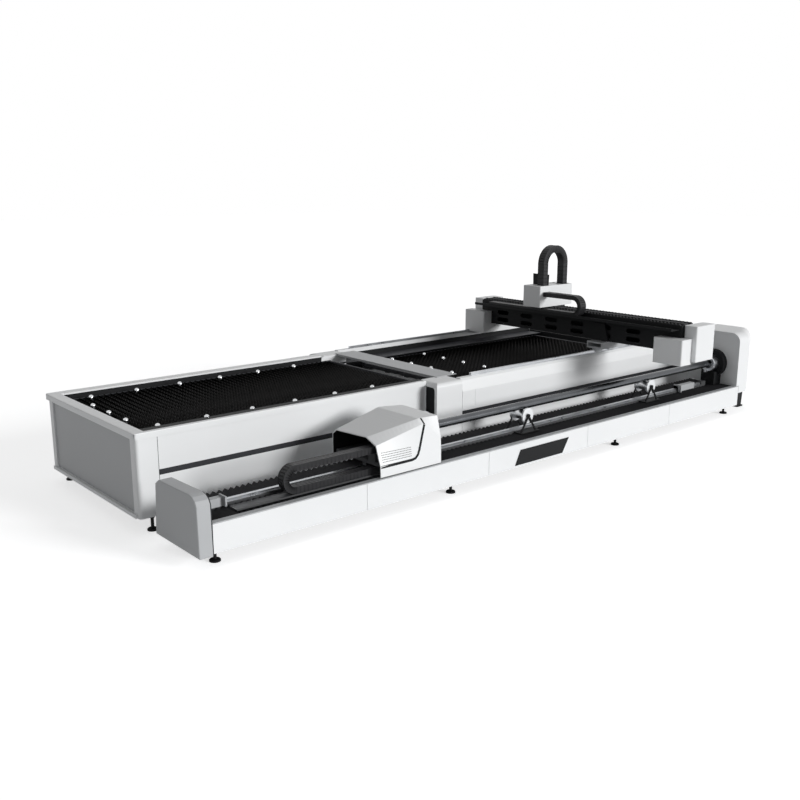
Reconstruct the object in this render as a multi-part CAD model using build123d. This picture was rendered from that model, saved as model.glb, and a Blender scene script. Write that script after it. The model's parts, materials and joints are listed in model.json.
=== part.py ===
from build123d import *
from math import cos, hypot, pi, sin
import os

# Flat sheet and tube laser cutting machine with a shuttle table.
# All sizes are in millimetres.
# x runs along the machine from the shuttle table to the end tower.
# y runs from the tube unit in front to the back wall.
# z is up from the floor.
os.makedirs("parts", exist_ok=True)

# Shared sheet metal and running gaps
SHEET = 6
FIT = 0.3
SEAM = 4

# Shuttle table: walls, corner posts and rim
TABLE_X0 = 0
TABLE_Y0 = 948
TABLE_Y1 = 2806
TABLE_Z0 = 132
TABLE_WALL = 100
RIM_TOP = 855
RIM_HEIGHT = 53
RIM_WIDTH = 105
RIM_OVERHANG = 20
TABLE_POST = 187
POST_ROUND = 30

# Cutting bed: walls and entry posts
BED_X0 = 3067
BED_X1 = 6850
BED_Y0 = 768
BED_Y1 = 2968
BED_Z0 = 140
BED_WALL = 100
BED_TOP = 852
BED_CREASE = 720
BED_LEAN = 22
ENTRY_POST = 350
ENTRY_TOP = 845
ENTRY_ROUND = 45
ENTRY_PANEL = 178
END_WALL_TOP = 762
END_SLOPE = 220

# Dark groove along every long side
GROOVE_Z0 = 474
GROOVE_Z1 = 521
GROOVE_DEPTH = 18

# Cover that bridges the two tables
BRIDGE_X0 = 3286
BRIDGE_X1 = 3559
BRIDGE_FLANGE = 17

# Pallets
PALLET_X0 = 112
PALLET_LENGTH = 3040
PALLET_TRAVEL = 3500
PALLET_Y0 = 1075
PALLET_Y1 = 2665
PALLET_TOP = 815
PALLET_DEPTH = 70
LEVEL_GAP = 12
PALLET_SIDE = 30
PALLET_BAR = 10
BAR_WIDTH = 60
BAR_ROWS = 5
BAR_INSET = 80
SIDE_DROP = 15
SLAT_THICKNESS = 4
SLAT_PITCH = 120
SLAT_TOOTH = 17
SLAT_TEETH = 14
BALL_RADIUS = 16
BALL_PROUD = 6
WHEEL_RADIUS = 24
WHEEL_WIDTH = 18
WHEEL_COUNT = 5
RAIL_LEDGE = 52
LEDGE_THICKNESS = 6

# Levelling feet
FOOT_PAD = 45
FOOT_PAD_HEIGHT = 18
FOOT_STEM = 14
FOOT_NUT = 24

# Tube unit: bed, panels and end cap
TUBE_X0 = 7
TUBE_BACK = 646
CAP_WIDTH = 113
PANEL_COUNT = 5
PANEL_X0 = 134
PANEL_X1 = 7371
PANEL_Z0 = 106
LIP_TOP = 346
LIP_DEPTH = 59
LIP_THICKNESS = 10
DECK_Z = 300
FRAME_Z0 = 112
FRAME_WALL = 8
RIB_TOP = 350
RIB_DEPTH = 26
RIB_PITCH = 55
TIE_WIDTH = 60
TIE_Z = 190
CAP_TOP = 570
CAP_NOSE = 497

# Tube axis, rail and rack
AXIS_Y = 312
AXIS_Z = 603
GUIDE_WIDTH = 36
GUIDE_TOP = 390
GUIDE_HEIGHT = 24
SEAT_WIDTH = 54
RACK_WIDTH = 14
GUIDE_X0 = 300
GUIDE_X1 = 7000
STOP_LENGTH = 90

# End tower
TOWER_X0 = 7320
TOWER_X1 = 7545
TOWER_TAIL = 7830
TOWER_TAIL_Y = 150
TOWER_DEPTH = 620
TOWER_Z0 = 256
TOWER_TOP = 992
TOWER_ROUND = 112
LEG_TOP_WIDTH = 120
LEG_FOOT_WIDTH = 70
LEG_DEPTH = 90

# Fixed chuck
RING_RADIUS = 165
RING_LENGTH = 80
BARREL_RADIUS = 97
ROTOR_RADIUS = 118
ROTOR_BORE = 60
BARREL_LENGTH = 170
NECK_WIDTH = 180
NECK_LENGTH = 150
JAW_LENGTH = 42
JAW_WIDTH = 30
JAW_HEIGHT = 58
JAW_COUNT = 4

# Work tube
TUBE_RADIUS = 40
TUBE_WALL = 4
TUBE_START = 2000
TUBE_END = 7290

# Moving chuck
CHUCK_X0 = 1735
CHUCK_X1 = 2425
CHUCK_Y0 = 10
CHUCK_Y1 = 690
CHUCK_Z0 = 354
CHUCK_TOP = 782
CHUCK_NOSE = 665
CHUCK_RAMP = 365
CHUCK_ROUND = 40
SADDLE_THICKNESS = 30
SADDLE_LIFT = 46
HOUSING_LENGTH = 300
HOUSING_WIDTH = 320
SPINDLE_TAIL = 440
FLANGE_RADIUS = 150
FLANGE_LENGTH = 80
VENT_ROWS = 5
VENT_LENGTH = 335
VENT_HEIGHT = 9
VENT_PITCH = 24
STRIPE_WIDTH = 14
STRIPE_DEPTH = 3

# Roller stands under the tube
STAND_X = (3800, 5870)
ROLLER_CORE = 50
ROLLER_FLANGE = 78
ROLLER_WIDTH = 175
ROLLER_LIP = 20
AXLE_RADIUS = 11
STAND_PLATE = 12
STAND_SPREAD = 110
STAND_LEG = 20

# Energy chain of the moving chuck
CHAIN_Y = 155
CHAIN_WIDTH = 88
CHAIN_LINK = 60
CHAIN_BEND = 119
CHAIN_BED = 14
CHAIN_BED_X0 = 400
CHAIN_TURN_X = 950
CHAIN_FIXED_X = 1876

# Gantry rails on the bed walls
XRAIL_X0 = 3600
XRAIL_X1 = 6620
XRAIL_WIDTH = 30
XRAIL_HEIGHT = 28
XRAIL_INSET = 82

# Gantry beam and its covers
BEAM_X0 = 5700
BEAM_X1 = 5940
BEAM_Y0 = -225
BEAM_Y1 = 2760
BEAM_Z0 = 985
BEAM_TOP = 1275
BEAM_WALL = 10
SLOT_LENGTH = 190
SLOT_HEIGHT = 54
SLOT_PITCH = 400
SLOT_ROWS = (1050, 1142)
COVER_X0 = 5562
COVER_Z0 = 868
COVER_TOP = 1145
COVER_ROUND = 18
FAR_COVER_Y0 = 2594
FAR_COVER_Y1 = 2943
FAR_COVER_X1 = 6113
NEAR_COVER_Y0 = -332
NEAR_COVER_Y1 = 28
CAP_X0 = 5750
CAP_X1 = 6100
CAP_Z0 = 894
CAP_Z1 = 1280
NEAR_CAP = 157
FAR_CAP = 190
SADDLE_X0 = 5580
SADDLE_X1 = 5985
NEAR_SADDLE_Y0 = 719
NEAR_SADDLE_Y1 = 934
RUNNER_LENGTH = 110
RUNNER_TOP = 905
TRAY_X0 = 5540
TRAY_Z = 1228
TRAY_LIP = 30

# Cross rails and the cutting carriage
YRAIL_WIDTH = 24
YRAIL_HEIGHT = 22
YRAIL_INSET = 40
RUNNER_SIDE = 12
BEAM_RIB_PITCH = 45
BEAM_RIB_FOOT = 6
BEAM_RIB_TOP = 20
CARRIAGE_X0 = 5500
CARRIAGE_X1 = 6100
CARRIAGE_Y0 = 1605
CARRIAGE_Y1 = 1876
CARRIAGE_Z0 = 1302
CARRIAGE_TOP = 1555
PLATE_THICKNESS = 15

# Energy chain along the beam
YCHAIN_X0 = 5555
YCHAIN_WIDTH = 100
YCHAIN_LINK = 56
YCHAIN_BEND = 125
YCHAIN_TURN_Y = 1155
YCHAIN_FIXED_Y = 2500

# Cutting head
HEAD_X = 6045
HEAD_Y = 1740
HEAD_RADIUS = 40
HEAD_Z0 = 1040
HEAD_TOP = 1480
NOZZLE_Z = 945
ZCHAIN_Y = 1680
ZCHAIN_WIDTH = 96
ZCHAIN_LINK = 80
ZCHAIN_BEND = 217
ZCHAIN_X0 = 5586
ZCHAIN_TOP = 2030
FLAG_HEIGHT = 130

nodes = {}


def add(name, *pieces):
    """Keep the solids of one named piece."""
    solids = []
    for piece in pieces:
        solids.extend(piece.solids())
    nodes[name] = solids


def more(name, *pieces):
    """Add further solids to a piece that is already kept."""
    for piece in pieces:
        nodes[name].extend(piece.solids())


def block(x0, x1, y0, y1, z0, z1):
    """Box between two corners."""
    middle = Pos((x0 + x1) / 2, (y0 + y1) / 2, (z0 + z1) / 2)
    return middle * Box(x1 - x0, y1 - y0, z1 - z0)


def face_yz(points, x):
    return make_face(Polyline(*[(x, y, z) for y, z in points], close=True))


def prism_x(points, x0, x1):
    """Outline of (y, z) points drawn out along x."""
    return extrude(face_yz(points, x0), x1 - x0, dir=(1, 0, 0))


def prism_y(points, y0, y1):
    """Outline of (x, z) points drawn out along y."""
    outline = make_face(Polyline(*[(x, y0, z) for x, z in points], close=True))
    return extrude(outline, y1 - y0, dir=(0, 1, 0))


def prism_z(points, z0, z1):
    """Outline of (x, y) points drawn out along z."""
    outline = make_face(Polyline(*[(x, y, z0) for x, y in points], close=True))
    return extrude(outline, z1 - z0, dir=(0, 0, 1))


def rod_x(x0, x1, y, z, radius):
    return Pos((x0 + x1) / 2, y, z) * Rot(0, 90, 0) * Cylinder(radius, x1 - x0)


def rod_y(x, y0, y1, z, radius):
    return Pos(x, (y0 + y1) / 2, z) * Rot(90, 0, 0) * Cylinder(radius, y1 - y0)


def rod_z(x, y, z0, z1, radius):
    return Pos(x, y, (z0 + z1) / 2) * Cylinder(radius, z1 - z0)


def edges_near(solid, axis, test):
    """Straight edges along an axis whose middle passes a test."""
    return [e for e in solid.edges().filter_by(axis) if test(e.center())]


def inset(points, gap):
    """Closed outline moved inwards by a gap, its points going round to the left."""
    moved = []
    count = len(points)
    for i in range(count):
        before, here, after = points[i - 1], points[i], points[(i + 1) % count]
        ax, ay = here[0] - before[0], here[1] - before[1]
        bx, by = after[0] - here[0], after[1] - here[1]
        al, bl = hypot(ax, ay), hypot(bx, by)
        nx, ny = -ay / al - by / bl, ax / al + bx / bl
        scale = 2 * gap / (nx * nx + ny * ny)
        moved.append((here[0] + nx * scale, here[1] + ny * scale))
    return moved


def facing(points, face_y, inward):
    """Place (depth, z) points behind a wall face, going round to the left."""
    placed = [(face_y + inward * d, z) for d, z in points]
    return placed if inward > 0 else placed[::-1]


def groove(depth=GROOVE_DEPTH):
    """Points of the groove in a long side, from its top to its foot."""
    bevel = depth / 3
    return [(0, GROOVE_Z1), (depth, GROOVE_Z1 - bevel),
            (depth, GROOVE_Z0 + bevel), (0, GROOVE_Z0)]


def long_wall(points, face_y, inward, x0, x1):
    """Box-section wall, welded from folded sheet, with a groove in its face."""
    outline = facing(points, face_y, inward)
    shell = prism_x(outline, x0, x1)
    return shell - prism_x(inset(outline, SHEET), x0 + SHEET, x1 - SHEET)


def groove_strip(face_y, inward, x0, x1):
    """Dark strip on the floor of a groove."""
    bevel = GROOVE_DEPTH / 3
    back = face_y + inward * GROOVE_DEPTH
    front = face_y + inward * (GROOVE_DEPTH - SHEET)
    low, high = min(back, front), max(back, front)
    return block(x0, x1, low, high, GROOVE_Z0 + 2 * bevel, GROOVE_Z1 - 2 * bevel)


def foot(x, y, top):
    """Levelling foot: rubber pad, stem and lock nut under a frame."""
    pad = rod_z(x, y, 0, FOOT_PAD_HEIGHT, FOOT_PAD)
    pad = chamfer(pad.edges().group_by(Axis.Z)[-1], FOOT_PAD_HEIGHT / 3)
    stem = rod_z(x, y, FOOT_PAD_HEIGHT, top, FOOT_STEM)
    nut = extrude(Pos(x, y, top - FOOT_NUT) * RegularPolygon(FOOT_NUT, 6), FOOT_NUT)
    return pad + stem + nut


# Sizes that several pieces share
TABLE_X1 = BED_X0
RIM_Z0 = RIM_TOP - RIM_HEIGHT
TABLE_IN_Y0 = TABLE_Y0 + TABLE_WALL
TABLE_IN_Y1 = TABLE_Y1 - TABLE_WALL
BED_IN_Y0 = BED_Y0 + BED_WALL
BED_IN_Y1 = BED_Y1 - BED_WALL
ENTRY_X1 = BED_X0 + ENTRY_POST
LOWER_TOP = PALLET_TOP - PALLET_DEPTH - LEVEL_GAP
GUIDE_Y0 = AXIS_Y - GUIDE_WIDTH / 2
GUIDE_Y1 = AXIS_Y + GUIDE_WIDTH / 2
SEAT_Y0 = AXIS_Y - SEAT_WIDTH / 2
SEAT_Y1 = AXIS_Y + SEAT_WIDTH / 2
SADDLE_Z0 = GUIDE_TOP + SADDLE_LIFT
SADDLE_TOP = SADDLE_Z0 + SADDLE_THICKNESS


def table_profile():
    depth = TABLE_WALL
    points = [(0, TABLE_Z0), (depth, TABLE_Z0), (depth, RIM_Z0), (0, RIM_Z0)]
    return points + groove()


def bed_profile():
    depth = BED_WALL
    lean = [(depth, BED_Z0), (depth, BED_TOP), (2 * BED_LEAN, BED_TOP),
            (BED_LEAN, BED_TOP - BED_LEAN), (0, BED_CREASE)]
    return [(0, BED_Z0)] + lean + groove()


def shuttle_table():
    """Walls, corner posts and rim of the table that the pallets wait on."""
    x0 = TABLE_X0 + TABLE_POST + SEAM
    add("table_side_walls", *[long_wall(table_profile(), face, inward, x0, TABLE_X1)
                              for face, inward in ((TABLE_Y0, 1), (TABLE_Y1, -1))])
    posts = []
    for y0, y1, edge in ((TABLE_Y0, TABLE_IN_Y0, TABLE_Y0),
                         (TABLE_IN_Y1, TABLE_Y1, TABLE_Y1)):
        post = block(TABLE_X0, x0, y0, y1, TABLE_Z0, RIM_Z0)
        outer = edges_near(post, Axis.Z, lambda c: c.X < x0 / 2 and abs(c.Y - edge) < 1)
        post = fillet(outer, POST_ROUND)
        hollow = block(TABLE_X0 + SHEET, x0 - SHEET, y0 + SHEET, y1 - SHEET,
                       TABLE_Z0 + SHEET, RIM_Z0 - SHEET)
        posts.append(post - fillet(edges_near(
            hollow, Axis.Z, lambda c: c.X < x0 / 2 and abs(c.Y - edge) < 2 * SHEET),
            POST_ROUND - SHEET))
    add("corner_posts", *posts)
    end = block(TABLE_X0 + 12, TABLE_X0 + RIM_WIDTH - RIM_OVERHANG, TABLE_IN_Y0,
                TABLE_IN_Y1, TABLE_Z0, RIM_Z0)
    hollow = block(TABLE_X0 + 12 + SHEET, TABLE_X0 + RIM_WIDTH - RIM_OVERHANG - SHEET,
                   TABLE_IN_Y0 + SHEET, TABLE_IN_Y1 - SHEET, TABLE_Z0 + SHEET, RIM_Z0 - SHEET)
    add("end_walls", end - hollow)
    outer = block(TABLE_X0 - RIM_OVERHANG, TABLE_X1, TABLE_Y0 - RIM_OVERHANG,
                  TABLE_Y1 + RIM_OVERHANG, RIM_Z0, RIM_TOP)
    corners = edges_near(outer, Axis.Z, lambda c: c.X < TABLE_X0)
    outer = fillet(corners, POST_ROUND)
    top = [e for e in outer.edges().group_by(Axis.Z)[-1] if e.center().X < TABLE_X1 - 1]
    outer = fillet(top, 8)
    well = block(TABLE_X0 - RIM_OVERHANG + RIM_WIDTH, TABLE_X1 + 1,
                 TABLE_IN_Y0, TABLE_IN_Y1, RIM_Z0 - 1, RIM_TOP + 1)
    under = block(TABLE_X0 - RIM_OVERHANG + SHEET, TABLE_X1 - SHEET,
                  TABLE_Y0 - RIM_OVERHANG + SHEET, TABLE_Y1 + RIM_OVERHANG - SHEET,
                  RIM_Z0 - 1, RIM_TOP - SHEET)
    keep = block(TABLE_X0, TABLE_X1, TABLE_Y0, TABLE_Y1, RIM_Z0, RIM_TOP)
    add("table_rim", outer - well - (under - keep))


def cutting_bed():
    """Walls of the bed under the gantry, its entry posts and end wall."""
    x0 = ENTRY_X1 + SEAM
    end_slope = [(BED_X1 - END_SLOPE, BED_TOP + 1), (BED_X1 + 1, BED_TOP + 1),
                 (BED_X1 + 1, END_WALL_TOP), (BED_X1 - END_SLOPE / 4, END_WALL_TOP)]
    walls = []
    for face, inward in ((BED_Y0, 1), (BED_Y1, -1)):
        wall = long_wall(bed_profile(), face, inward, x0, BED_X1)
        y0, y1 = min(face, face + inward * BED_WALL), max(face, face + inward * BED_WALL)
        wall -= prism_y(end_slope, y0 - 1, y1 + 1)
        seam = x0 + ENTRY_PANEL
        wall -= block(seam, seam + SEAM, min(face - 1, face + inward * 2),
                      max(face + 1, face + inward * 2), BED_Z0 - 1, BED_TOP + 1)
        walls.append(wall)
    add("bed_side_walls", *walls)
    posts = []
    for y0, y1, outer_y in ((BED_Y0, TABLE_IN_Y0, BED_Y0), (TABLE_IN_Y1, BED_Y1, BED_Y1)):
        post = block(BED_X0, ENTRY_X1, y0, y1, BED_Z0, ENTRY_TOP)
        high = [e for e in post.edges().group_by(Axis.Z)[-1]
                if abs(e.center().Y - outer_y) < 1 or e.center().X < BED_X0 + 1]
        post = fillet(high, ENTRY_ROUND)
        hollow = block(BED_X0 + SHEET, ENTRY_X1 - SHEET, y0 + SHEET, y1 - SHEET,
                       BED_Z0 + SHEET, ENTRY_TOP - ENTRY_ROUND)
        posts.append(post - hollow)
    more("corner_posts", *posts)
    wall = block(BED_X1 - BED_WALL, BED_X1, BED_IN_Y0, BED_IN_Y1, BED_Z0, END_WALL_TOP)
    hollow = block(BED_X1 - BED_WALL + SHEET, BED_X1 - SHEET, BED_IN_Y0 + SHEET,
                   BED_IN_Y1 - SHEET, BED_Z0 + SHEET, END_WALL_TOP - SHEET)
    more("end_walls", wall - hollow)


def grooves():
    """Dark strips in the grooves of both tables."""
    strips = []
    table_x0 = TABLE_X0 + TABLE_POST + SEAM + SHEET
    for face, inward in ((TABLE_Y0, 1), (TABLE_Y1, -1)):
        strips.append(groove_strip(face, inward, table_x0, TABLE_X1 - SHEET))
    for face, inward in ((BED_Y0, 1), (BED_Y1, -1)):
        strips.append(groove_strip(face, inward, ENTRY_X1 + SEAM + SHEET, BED_X1 - SHEET))
    add("groove_strips", *strips)


def bridge_cover():
    """Folded cover between the tables, with flanges between the posts."""
    y0, y1 = TABLE_IN_Y0 - 40, TABLE_IN_Y1 + 40
    plate = block(BRIDGE_X0, BRIDGE_X1, y0, y1, ENTRY_TOP, ENTRY_TOP + SHEET)
    flanges = [block(x, x + SHEET, TABLE_IN_Y0 + 2, TABLE_IN_Y1 - 2,
                     ENTRY_TOP - BRIDGE_FLANGE, ENTRY_TOP)
               for x in (BRIDGE_X0, BRIDGE_X1 - SHEET)]
    cover = plate + flanges[0] + flanges[1]
    add("bridge_cover", cover)


def pallet_rails():
    """Two levels of ledges that the pallets run on."""
    ledges = []
    for top in (PALLET_TOP, LOWER_TOP):
        z1 = top - PALLET_DEPTH
        z0 = z1 - LEDGE_THICKNESS
        for wall, inner, inward in ((TABLE_IN_Y0, BED_IN_Y0, 1), (TABLE_IN_Y1, BED_IN_Y1, -1)):
            edge = wall + inward * RAIL_LEDGE
            ledge = block(TABLE_X0 + RIM_WIDTH - RIM_OVERHANG, BED_X1 - BED_WALL,
                          min(wall, edge), max(wall, edge), z0, z1)
            shelf = block(ENTRY_X1, BED_X1 - BED_WALL, min(wall, inner), max(wall, inner), z0, z1)
            ledges.append(ledge + shelf)
    add("pallet_rails", *ledges)


def slat_outline(x, top):
    """Side view of one support slat with its row of points."""
    y0, y1 = PALLET_Y0 + PALLET_SIDE, PALLET_Y1 - PALLET_SIDE
    foot_z = top - PALLET_DEPTH + PALLET_BAR
    pitch = (y1 - y0) / SLAT_TEETH
    points = [(y1, foot_z), (y1, top - SLAT_TOOTH)]
    for i in range(SLAT_TEETH):
        points.append((y1 - (i + 0.5) * pitch, top))
        points.append((y1 - (i + 1) * pitch, top - SLAT_TOOTH))
    points.append((y0, foot_z))
    return prism_x(points[::-1], x, x + SLAT_THICKNESS)


def bar_positions():
    span = PALLET_Y1 - PALLET_Y0 - 2 * PALLET_SIDE - 2 * BAR_INSET
    return [PALLET_Y0 + PALLET_SIDE + BAR_INSET + span * i / (BAR_ROWS - 1)
            for i in range(BAR_ROWS)]


def slat_positions(x0):
    count = int((PALLET_LENGTH - 2 * PALLET_SIDE) / SLAT_PITCH)
    start = x0 + (PALLET_LENGTH - (count - 1) * SLAT_PITCH) / 2
    return [start + i * SLAT_PITCH for i in range(count)]


def pallet_frame(x0, top):
    """Welded frame: side beams with wheels, end beams and lengthwise bars."""
    x1 = x0 + PALLET_LENGTH
    z0 = top - PALLET_DEPTH
    bar_top = z0 + PALLET_BAR
    side_top = top - SIDE_DROP
    frame = block(x0, x1, PALLET_Y0, PALLET_Y1, bar_top, side_top)
    frame -= block(x0 + PALLET_SIDE, x1 - PALLET_SIDE, PALLET_Y0 + PALLET_SIDE,
                   PALLET_Y1 - PALLET_SIDE, bar_top - 1, side_top + 1)
    for y in bar_positions():
        frame += block(x0, x1, y - BAR_WIDTH / 2, y + BAR_WIDTH / 2, z0 + FIT, bar_top)
    wheel_z = z0 + WHEEL_RADIUS + FIT
    for i in range(WHEEL_COUNT):
        x = x0 + PALLET_LENGTH * (i + 0.5) / WHEEL_COUNT
        for y0 in (PALLET_Y0 + FIT, PALLET_Y1 - WHEEL_WIDTH - FIT):
            frame += rod_y(x, y0, y0 + WHEEL_WIDTH, wheel_z, WHEEL_RADIUS)
    return frame


def ball_unit(x, y, top):
    """Ball transfer unit standing on a lengthwise bar."""
    base = top - PALLET_DEPTH + PALLET_BAR
    centre = top + BALL_PROUD - BALL_RADIUS
    stem = rod_z(x, y, base, centre, BALL_RADIUS)
    dome = Pos(x, y, centre) * Sphere(BALL_RADIUS)
    dome -= block(x - 50, x + 50, y - 50, y + 50, centre - 50, centre)
    return stem + dome


def pallets():
    """Upper pallet on the shuttle table and lower pallet in the bed."""
    rows = bar_positions()
    for name, x0, top in (("upper_pallet", PALLET_X0, PALLET_TOP),
                          ("lower_pallet", PALLET_X0 + PALLET_TRAVEL, LOWER_TOP)):
        add(name + "_frame", pallet_frame(x0, top))
        slats = slat_positions(x0)
        add(name + "_slats", *[slat_outline(x - SLAT_THICKNESS / 2, top) for x in slats])
        gaps = [x + SLAT_PITCH / 2 for x in slats[:-1]]
        if name == "upper_pallet":
            spots = [(gaps[i], y) for i in range(1, len(gaps), 4) for y in (rows[0], rows[-1])]
            spots += [(gaps[0], y) for y in rows[1:-1]]
        else:
            spots = [(gaps[i], y) for i in (0, 4, 8, 12, 16, 20) for y in rows]
        add(name + "_balls", *[ball_unit(x, y, top) for x, y in spots])


def levelling_feet():
    """Feet of both tables, the tube unit and the tower."""
    feet = []
    for x in (TABLE_X0 + 130, (TABLE_X0 + TABLE_X1) / 2, TABLE_X1 - 200):
        feet += [foot(x, y, TABLE_Z0) for y in (TABLE_Y0 + 60, TABLE_Y1 - 60)]
    for x in (ENTRY_X1 + 80, (ENTRY_X1 + BED_X1) / 2, BED_X1 - 120):
        feet += [foot(x, y, BED_Z0) for y in (BED_Y0 + 50, BED_Y1 - 50)]
    for x in (PANEL_X0 + 65, PANEL_X0 + 2507, PANEL_X0 + 4958, PANEL_X1 - 120):
        feet += [foot(x, y, FRAME_Z0) for y in (110, TUBE_BACK - 90)]
    add("levelling_feet", *feet)


def tube_bed():
    """Hollow bed of the tube unit with its panels, lip, back sheet and end cap."""
    y0 = SHEET + 14
    frame = block(PANEL_X0, PANEL_X1, y0, TUBE_BACK - SHEET, FRAME_Z0, DECK_Z)
    hollow = block(PANEL_X0 + FRAME_WALL, PANEL_X1 - FRAME_WALL, y0 + FRAME_WALL,
                   TUBE_BACK - SHEET - FRAME_WALL, FRAME_Z0 + FRAME_WALL, DECK_Z - FRAME_WALL)
    add("tube_bed_frame", frame - hollow)
    length = (PANEL_X1 - PANEL_X0) / PANEL_COUNT
    lip_z = LIP_TOP - LIP_THICKNESS
    panels = []
    for i in range(PANEL_COUNT):
        x0 = PANEL_X0 + i * length
        x1 = x0 + length - SEAM
        panel = block(x0, x1, 0, SHEET, PANEL_Z0, lip_z)
        panel += block(x0, x1, SHEET, y0, DECK_Z - 2 * SHEET, DECK_Z - SHEET)
        panel += block(x0, x1, SHEET, y0, PANEL_Z0, FRAME_Z0)
        panels.append(panel)
    add("front_panels", *panels)
    lip = block(PANEL_X0, PANEL_X1, 0, LIP_DEPTH, lip_z, LIP_TOP)
    lip += block(PANEL_X0, PANEL_X1, LIP_DEPTH - SHEET, LIP_DEPTH, DECK_Z, lip_z)
    add("front_lip", lip)
    more("tube_bed_frame", block(PANEL_X0, TOWER_X0, TUBE_BACK - SHEET, TUBE_BACK,
                                 FRAME_Z0, LIP_TOP))
    plate = prism_y([(3384, 129), (4074, 129), (4166, 276), (3455, 276)], -5, 0)
    add("front_plate", plate)


def cap_outline(grow):
    """Side view of the end cap, from its front foot round to its back foot."""
    y0, y1 = -22 - grow, 688 + grow
    return [(y0 + 10, 95), (y1, 95), (y1 - 40, 521 + grow), (592, 559 + grow),
            (110, CAP_TOP + grow), (60, 560 + grow), (20, 533 + grow), (y0 + 21, CAP_NOSE)]


def end_cap():
    """Moulded cap over the left end of the tube unit, open towards the panels."""
    outline = cap_outline(0)
    cap = prism_x(outline, TUBE_X0, TUBE_X0 + CAP_WIDTH)
    cap = chamfer(cap.faces().sort_by(Axis.X)[0].edges(), 5)
    pocket = prism_x(inset(outline, SHEET + 4), TUBE_X0 + SHEET, TUBE_X0 + CAP_WIDTH + 1)
    add("tube_end_cap", cap - pocket)
    bulkhead = prism_x(inset(outline, SHEET + 4), TUBE_X0 + CAP_WIDTH - SHEET, PANEL_X0)
    more("tube_bed_frame", bulkhead)
    ties = [block(x, x + TIE_WIDTH, TUBE_BACK, BED_Y0, TIE_Z, TIE_Z + TIE_WIDTH)
            for x in (ENTRY_X1 + 400, BED_X1 - 400)]
    more("tube_bed_frame", *ties)


def ribbed_cover(x0, x1, y0, y1):
    """Deck cover folded into low ribs across the bed."""
    count = int((x1 - x0) / RIB_PITCH)
    pitch = (x1 - x0) / count
    points = [(x0, DECK_Z), (x1, DECK_Z)]
    for i in range(count):
        points.append((x1 - i * pitch, RIB_TOP - RIB_DEPTH))
        points.append((x1 - (i + 0.5) * pitch, RIB_TOP))
    points.append((x0, RIB_TOP - RIB_DEPTH))
    return prism_y(points, y0, y1)


def tube_guides():
    """Ribbed covers, rail seat, polished rail, rack and the end stops."""
    x0, x1 = PANEL_X0, TOWER_X0
    add("ribbed_covers", ribbed_cover(x0, x1, LIP_DEPTH, SEAT_Y0 - SEAM),
        ribbed_cover(x0, x1, SEAT_Y1 + RACK_WIDTH + SEAM, TUBE_BACK - SHEET))
    seat_top = GUIDE_TOP - GUIDE_HEIGHT
    add("rail_seat", block(GUIDE_X0, GUIDE_X1, SEAT_Y0, SEAT_Y1, DECK_Z, seat_top))
    rail = block(GUIDE_X0, GUIDE_X1, GUIDE_Y0, GUIDE_Y1, seat_top, GUIDE_TOP)
    waist = GUIDE_WIDTH / 8
    for y in (GUIDE_Y0, GUIDE_Y1):
        side = 1 if y > AXIS_Y else -1
        rail -= prism_x([(y + side, seat_top + 6), (y + side, GUIDE_TOP - 6),
                         (y - side * waist, GUIDE_TOP - 10),
                         (y - side * waist, seat_top + 10)][::side], GUIDE_X0 - 1, GUIDE_X1 + 1)
    add("tube_rail", rail)
    more("rail_seat", block(GUIDE_X0, GUIDE_X1, SEAT_Y1, SEAT_Y1 + RACK_WIDTH, DECK_Z, seat_top))
    stops = []
    for x in (GUIDE_X0 - STOP_LENGTH, GUIDE_X1):
        body = block(x, x + STOP_LENGTH, SEAT_Y0, SEAT_Y1, DECK_Z, GUIDE_TOP + 12)
        stops.append(body)
    more("rail_seat", *stops)


def tower():
    """End tower round the fixed chuck, with the leg under its tail."""
    plan = [(TOWER_X0, 0), (TOWER_X1, 0), (TOWER_TAIL, TOWER_TAIL_Y),
            (TOWER_TAIL, TOWER_DEPTH), (TOWER_X0, TOWER_DEPTH)]
    body = prism_z(plan, TOWER_Z0, TOWER_TOP)
    edge = [e for e in body.edges().group_by(Axis.Z)[-1]
            if e.center().Y < TOWER_TAIL_Y and e.center().X > TOWER_X0]
    body = fillet(edge, TOWER_ROUND)
    inner = prism_z(inset(plan, 2 * SHEET), TOWER_Z0 - 1, TOWER_TOP - TOWER_ROUND)
    body -= inner
    body -= rod_x(TOWER_X0 - 1, TOWER_TAIL + 1, AXIS_Y, AXIS_Z, BARREL_RADIUS - 8)
    body -= block(TOWER_X0 - 1, PANEL_X1 + SEAM, -1, TOWER_DEPTH + 1, TOWER_Z0 - 1, LIP_TOP)
    add("tower", body)
    x = TOWER_TAIL - 100
    y0 = TOWER_TAIL_Y + 20
    top, foot_z = LEG_TOP_WIDTH / 2, LEG_FOOT_WIDTH / 2
    leg = prism_y([(x - foot_z, FOOT_PAD_HEIGHT), (x + foot_z, FOOT_PAD_HEIGHT),
                   (x + top, TOWER_Z0), (x - top, TOWER_Z0)], y0, y0 + LEG_DEPTH)
    pad = block(x - top, x + top, y0 - 10, y0 + LEG_DEPTH + 10, 0, FOOT_PAD_HEIGHT)
    back = prism_y([(x - foot_z, FOOT_PAD_HEIGHT), (x + foot_z, FOOT_PAD_HEIGHT),
                    (x + top, TOWER_Z0), (x - top, TOWER_Z0)],
                   TOWER_DEPTH - LEG_DEPTH - 20, TOWER_DEPTH - 20)
    back_pad = block(x - top, x + top, TOWER_DEPTH - LEG_DEPTH - 30, TOWER_DEPTH - 10,
                     0, FOOT_PAD_HEIGHT)
    sill = block(x - top - 20, x + top + 20, y0 - 5, TOWER_DEPTH - 2 * SHEET, TOWER_Z0,
                 TOWER_Z0 + SHEET)
    more("levelling_feet", leg + pad + back + back_pad + sill)


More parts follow.
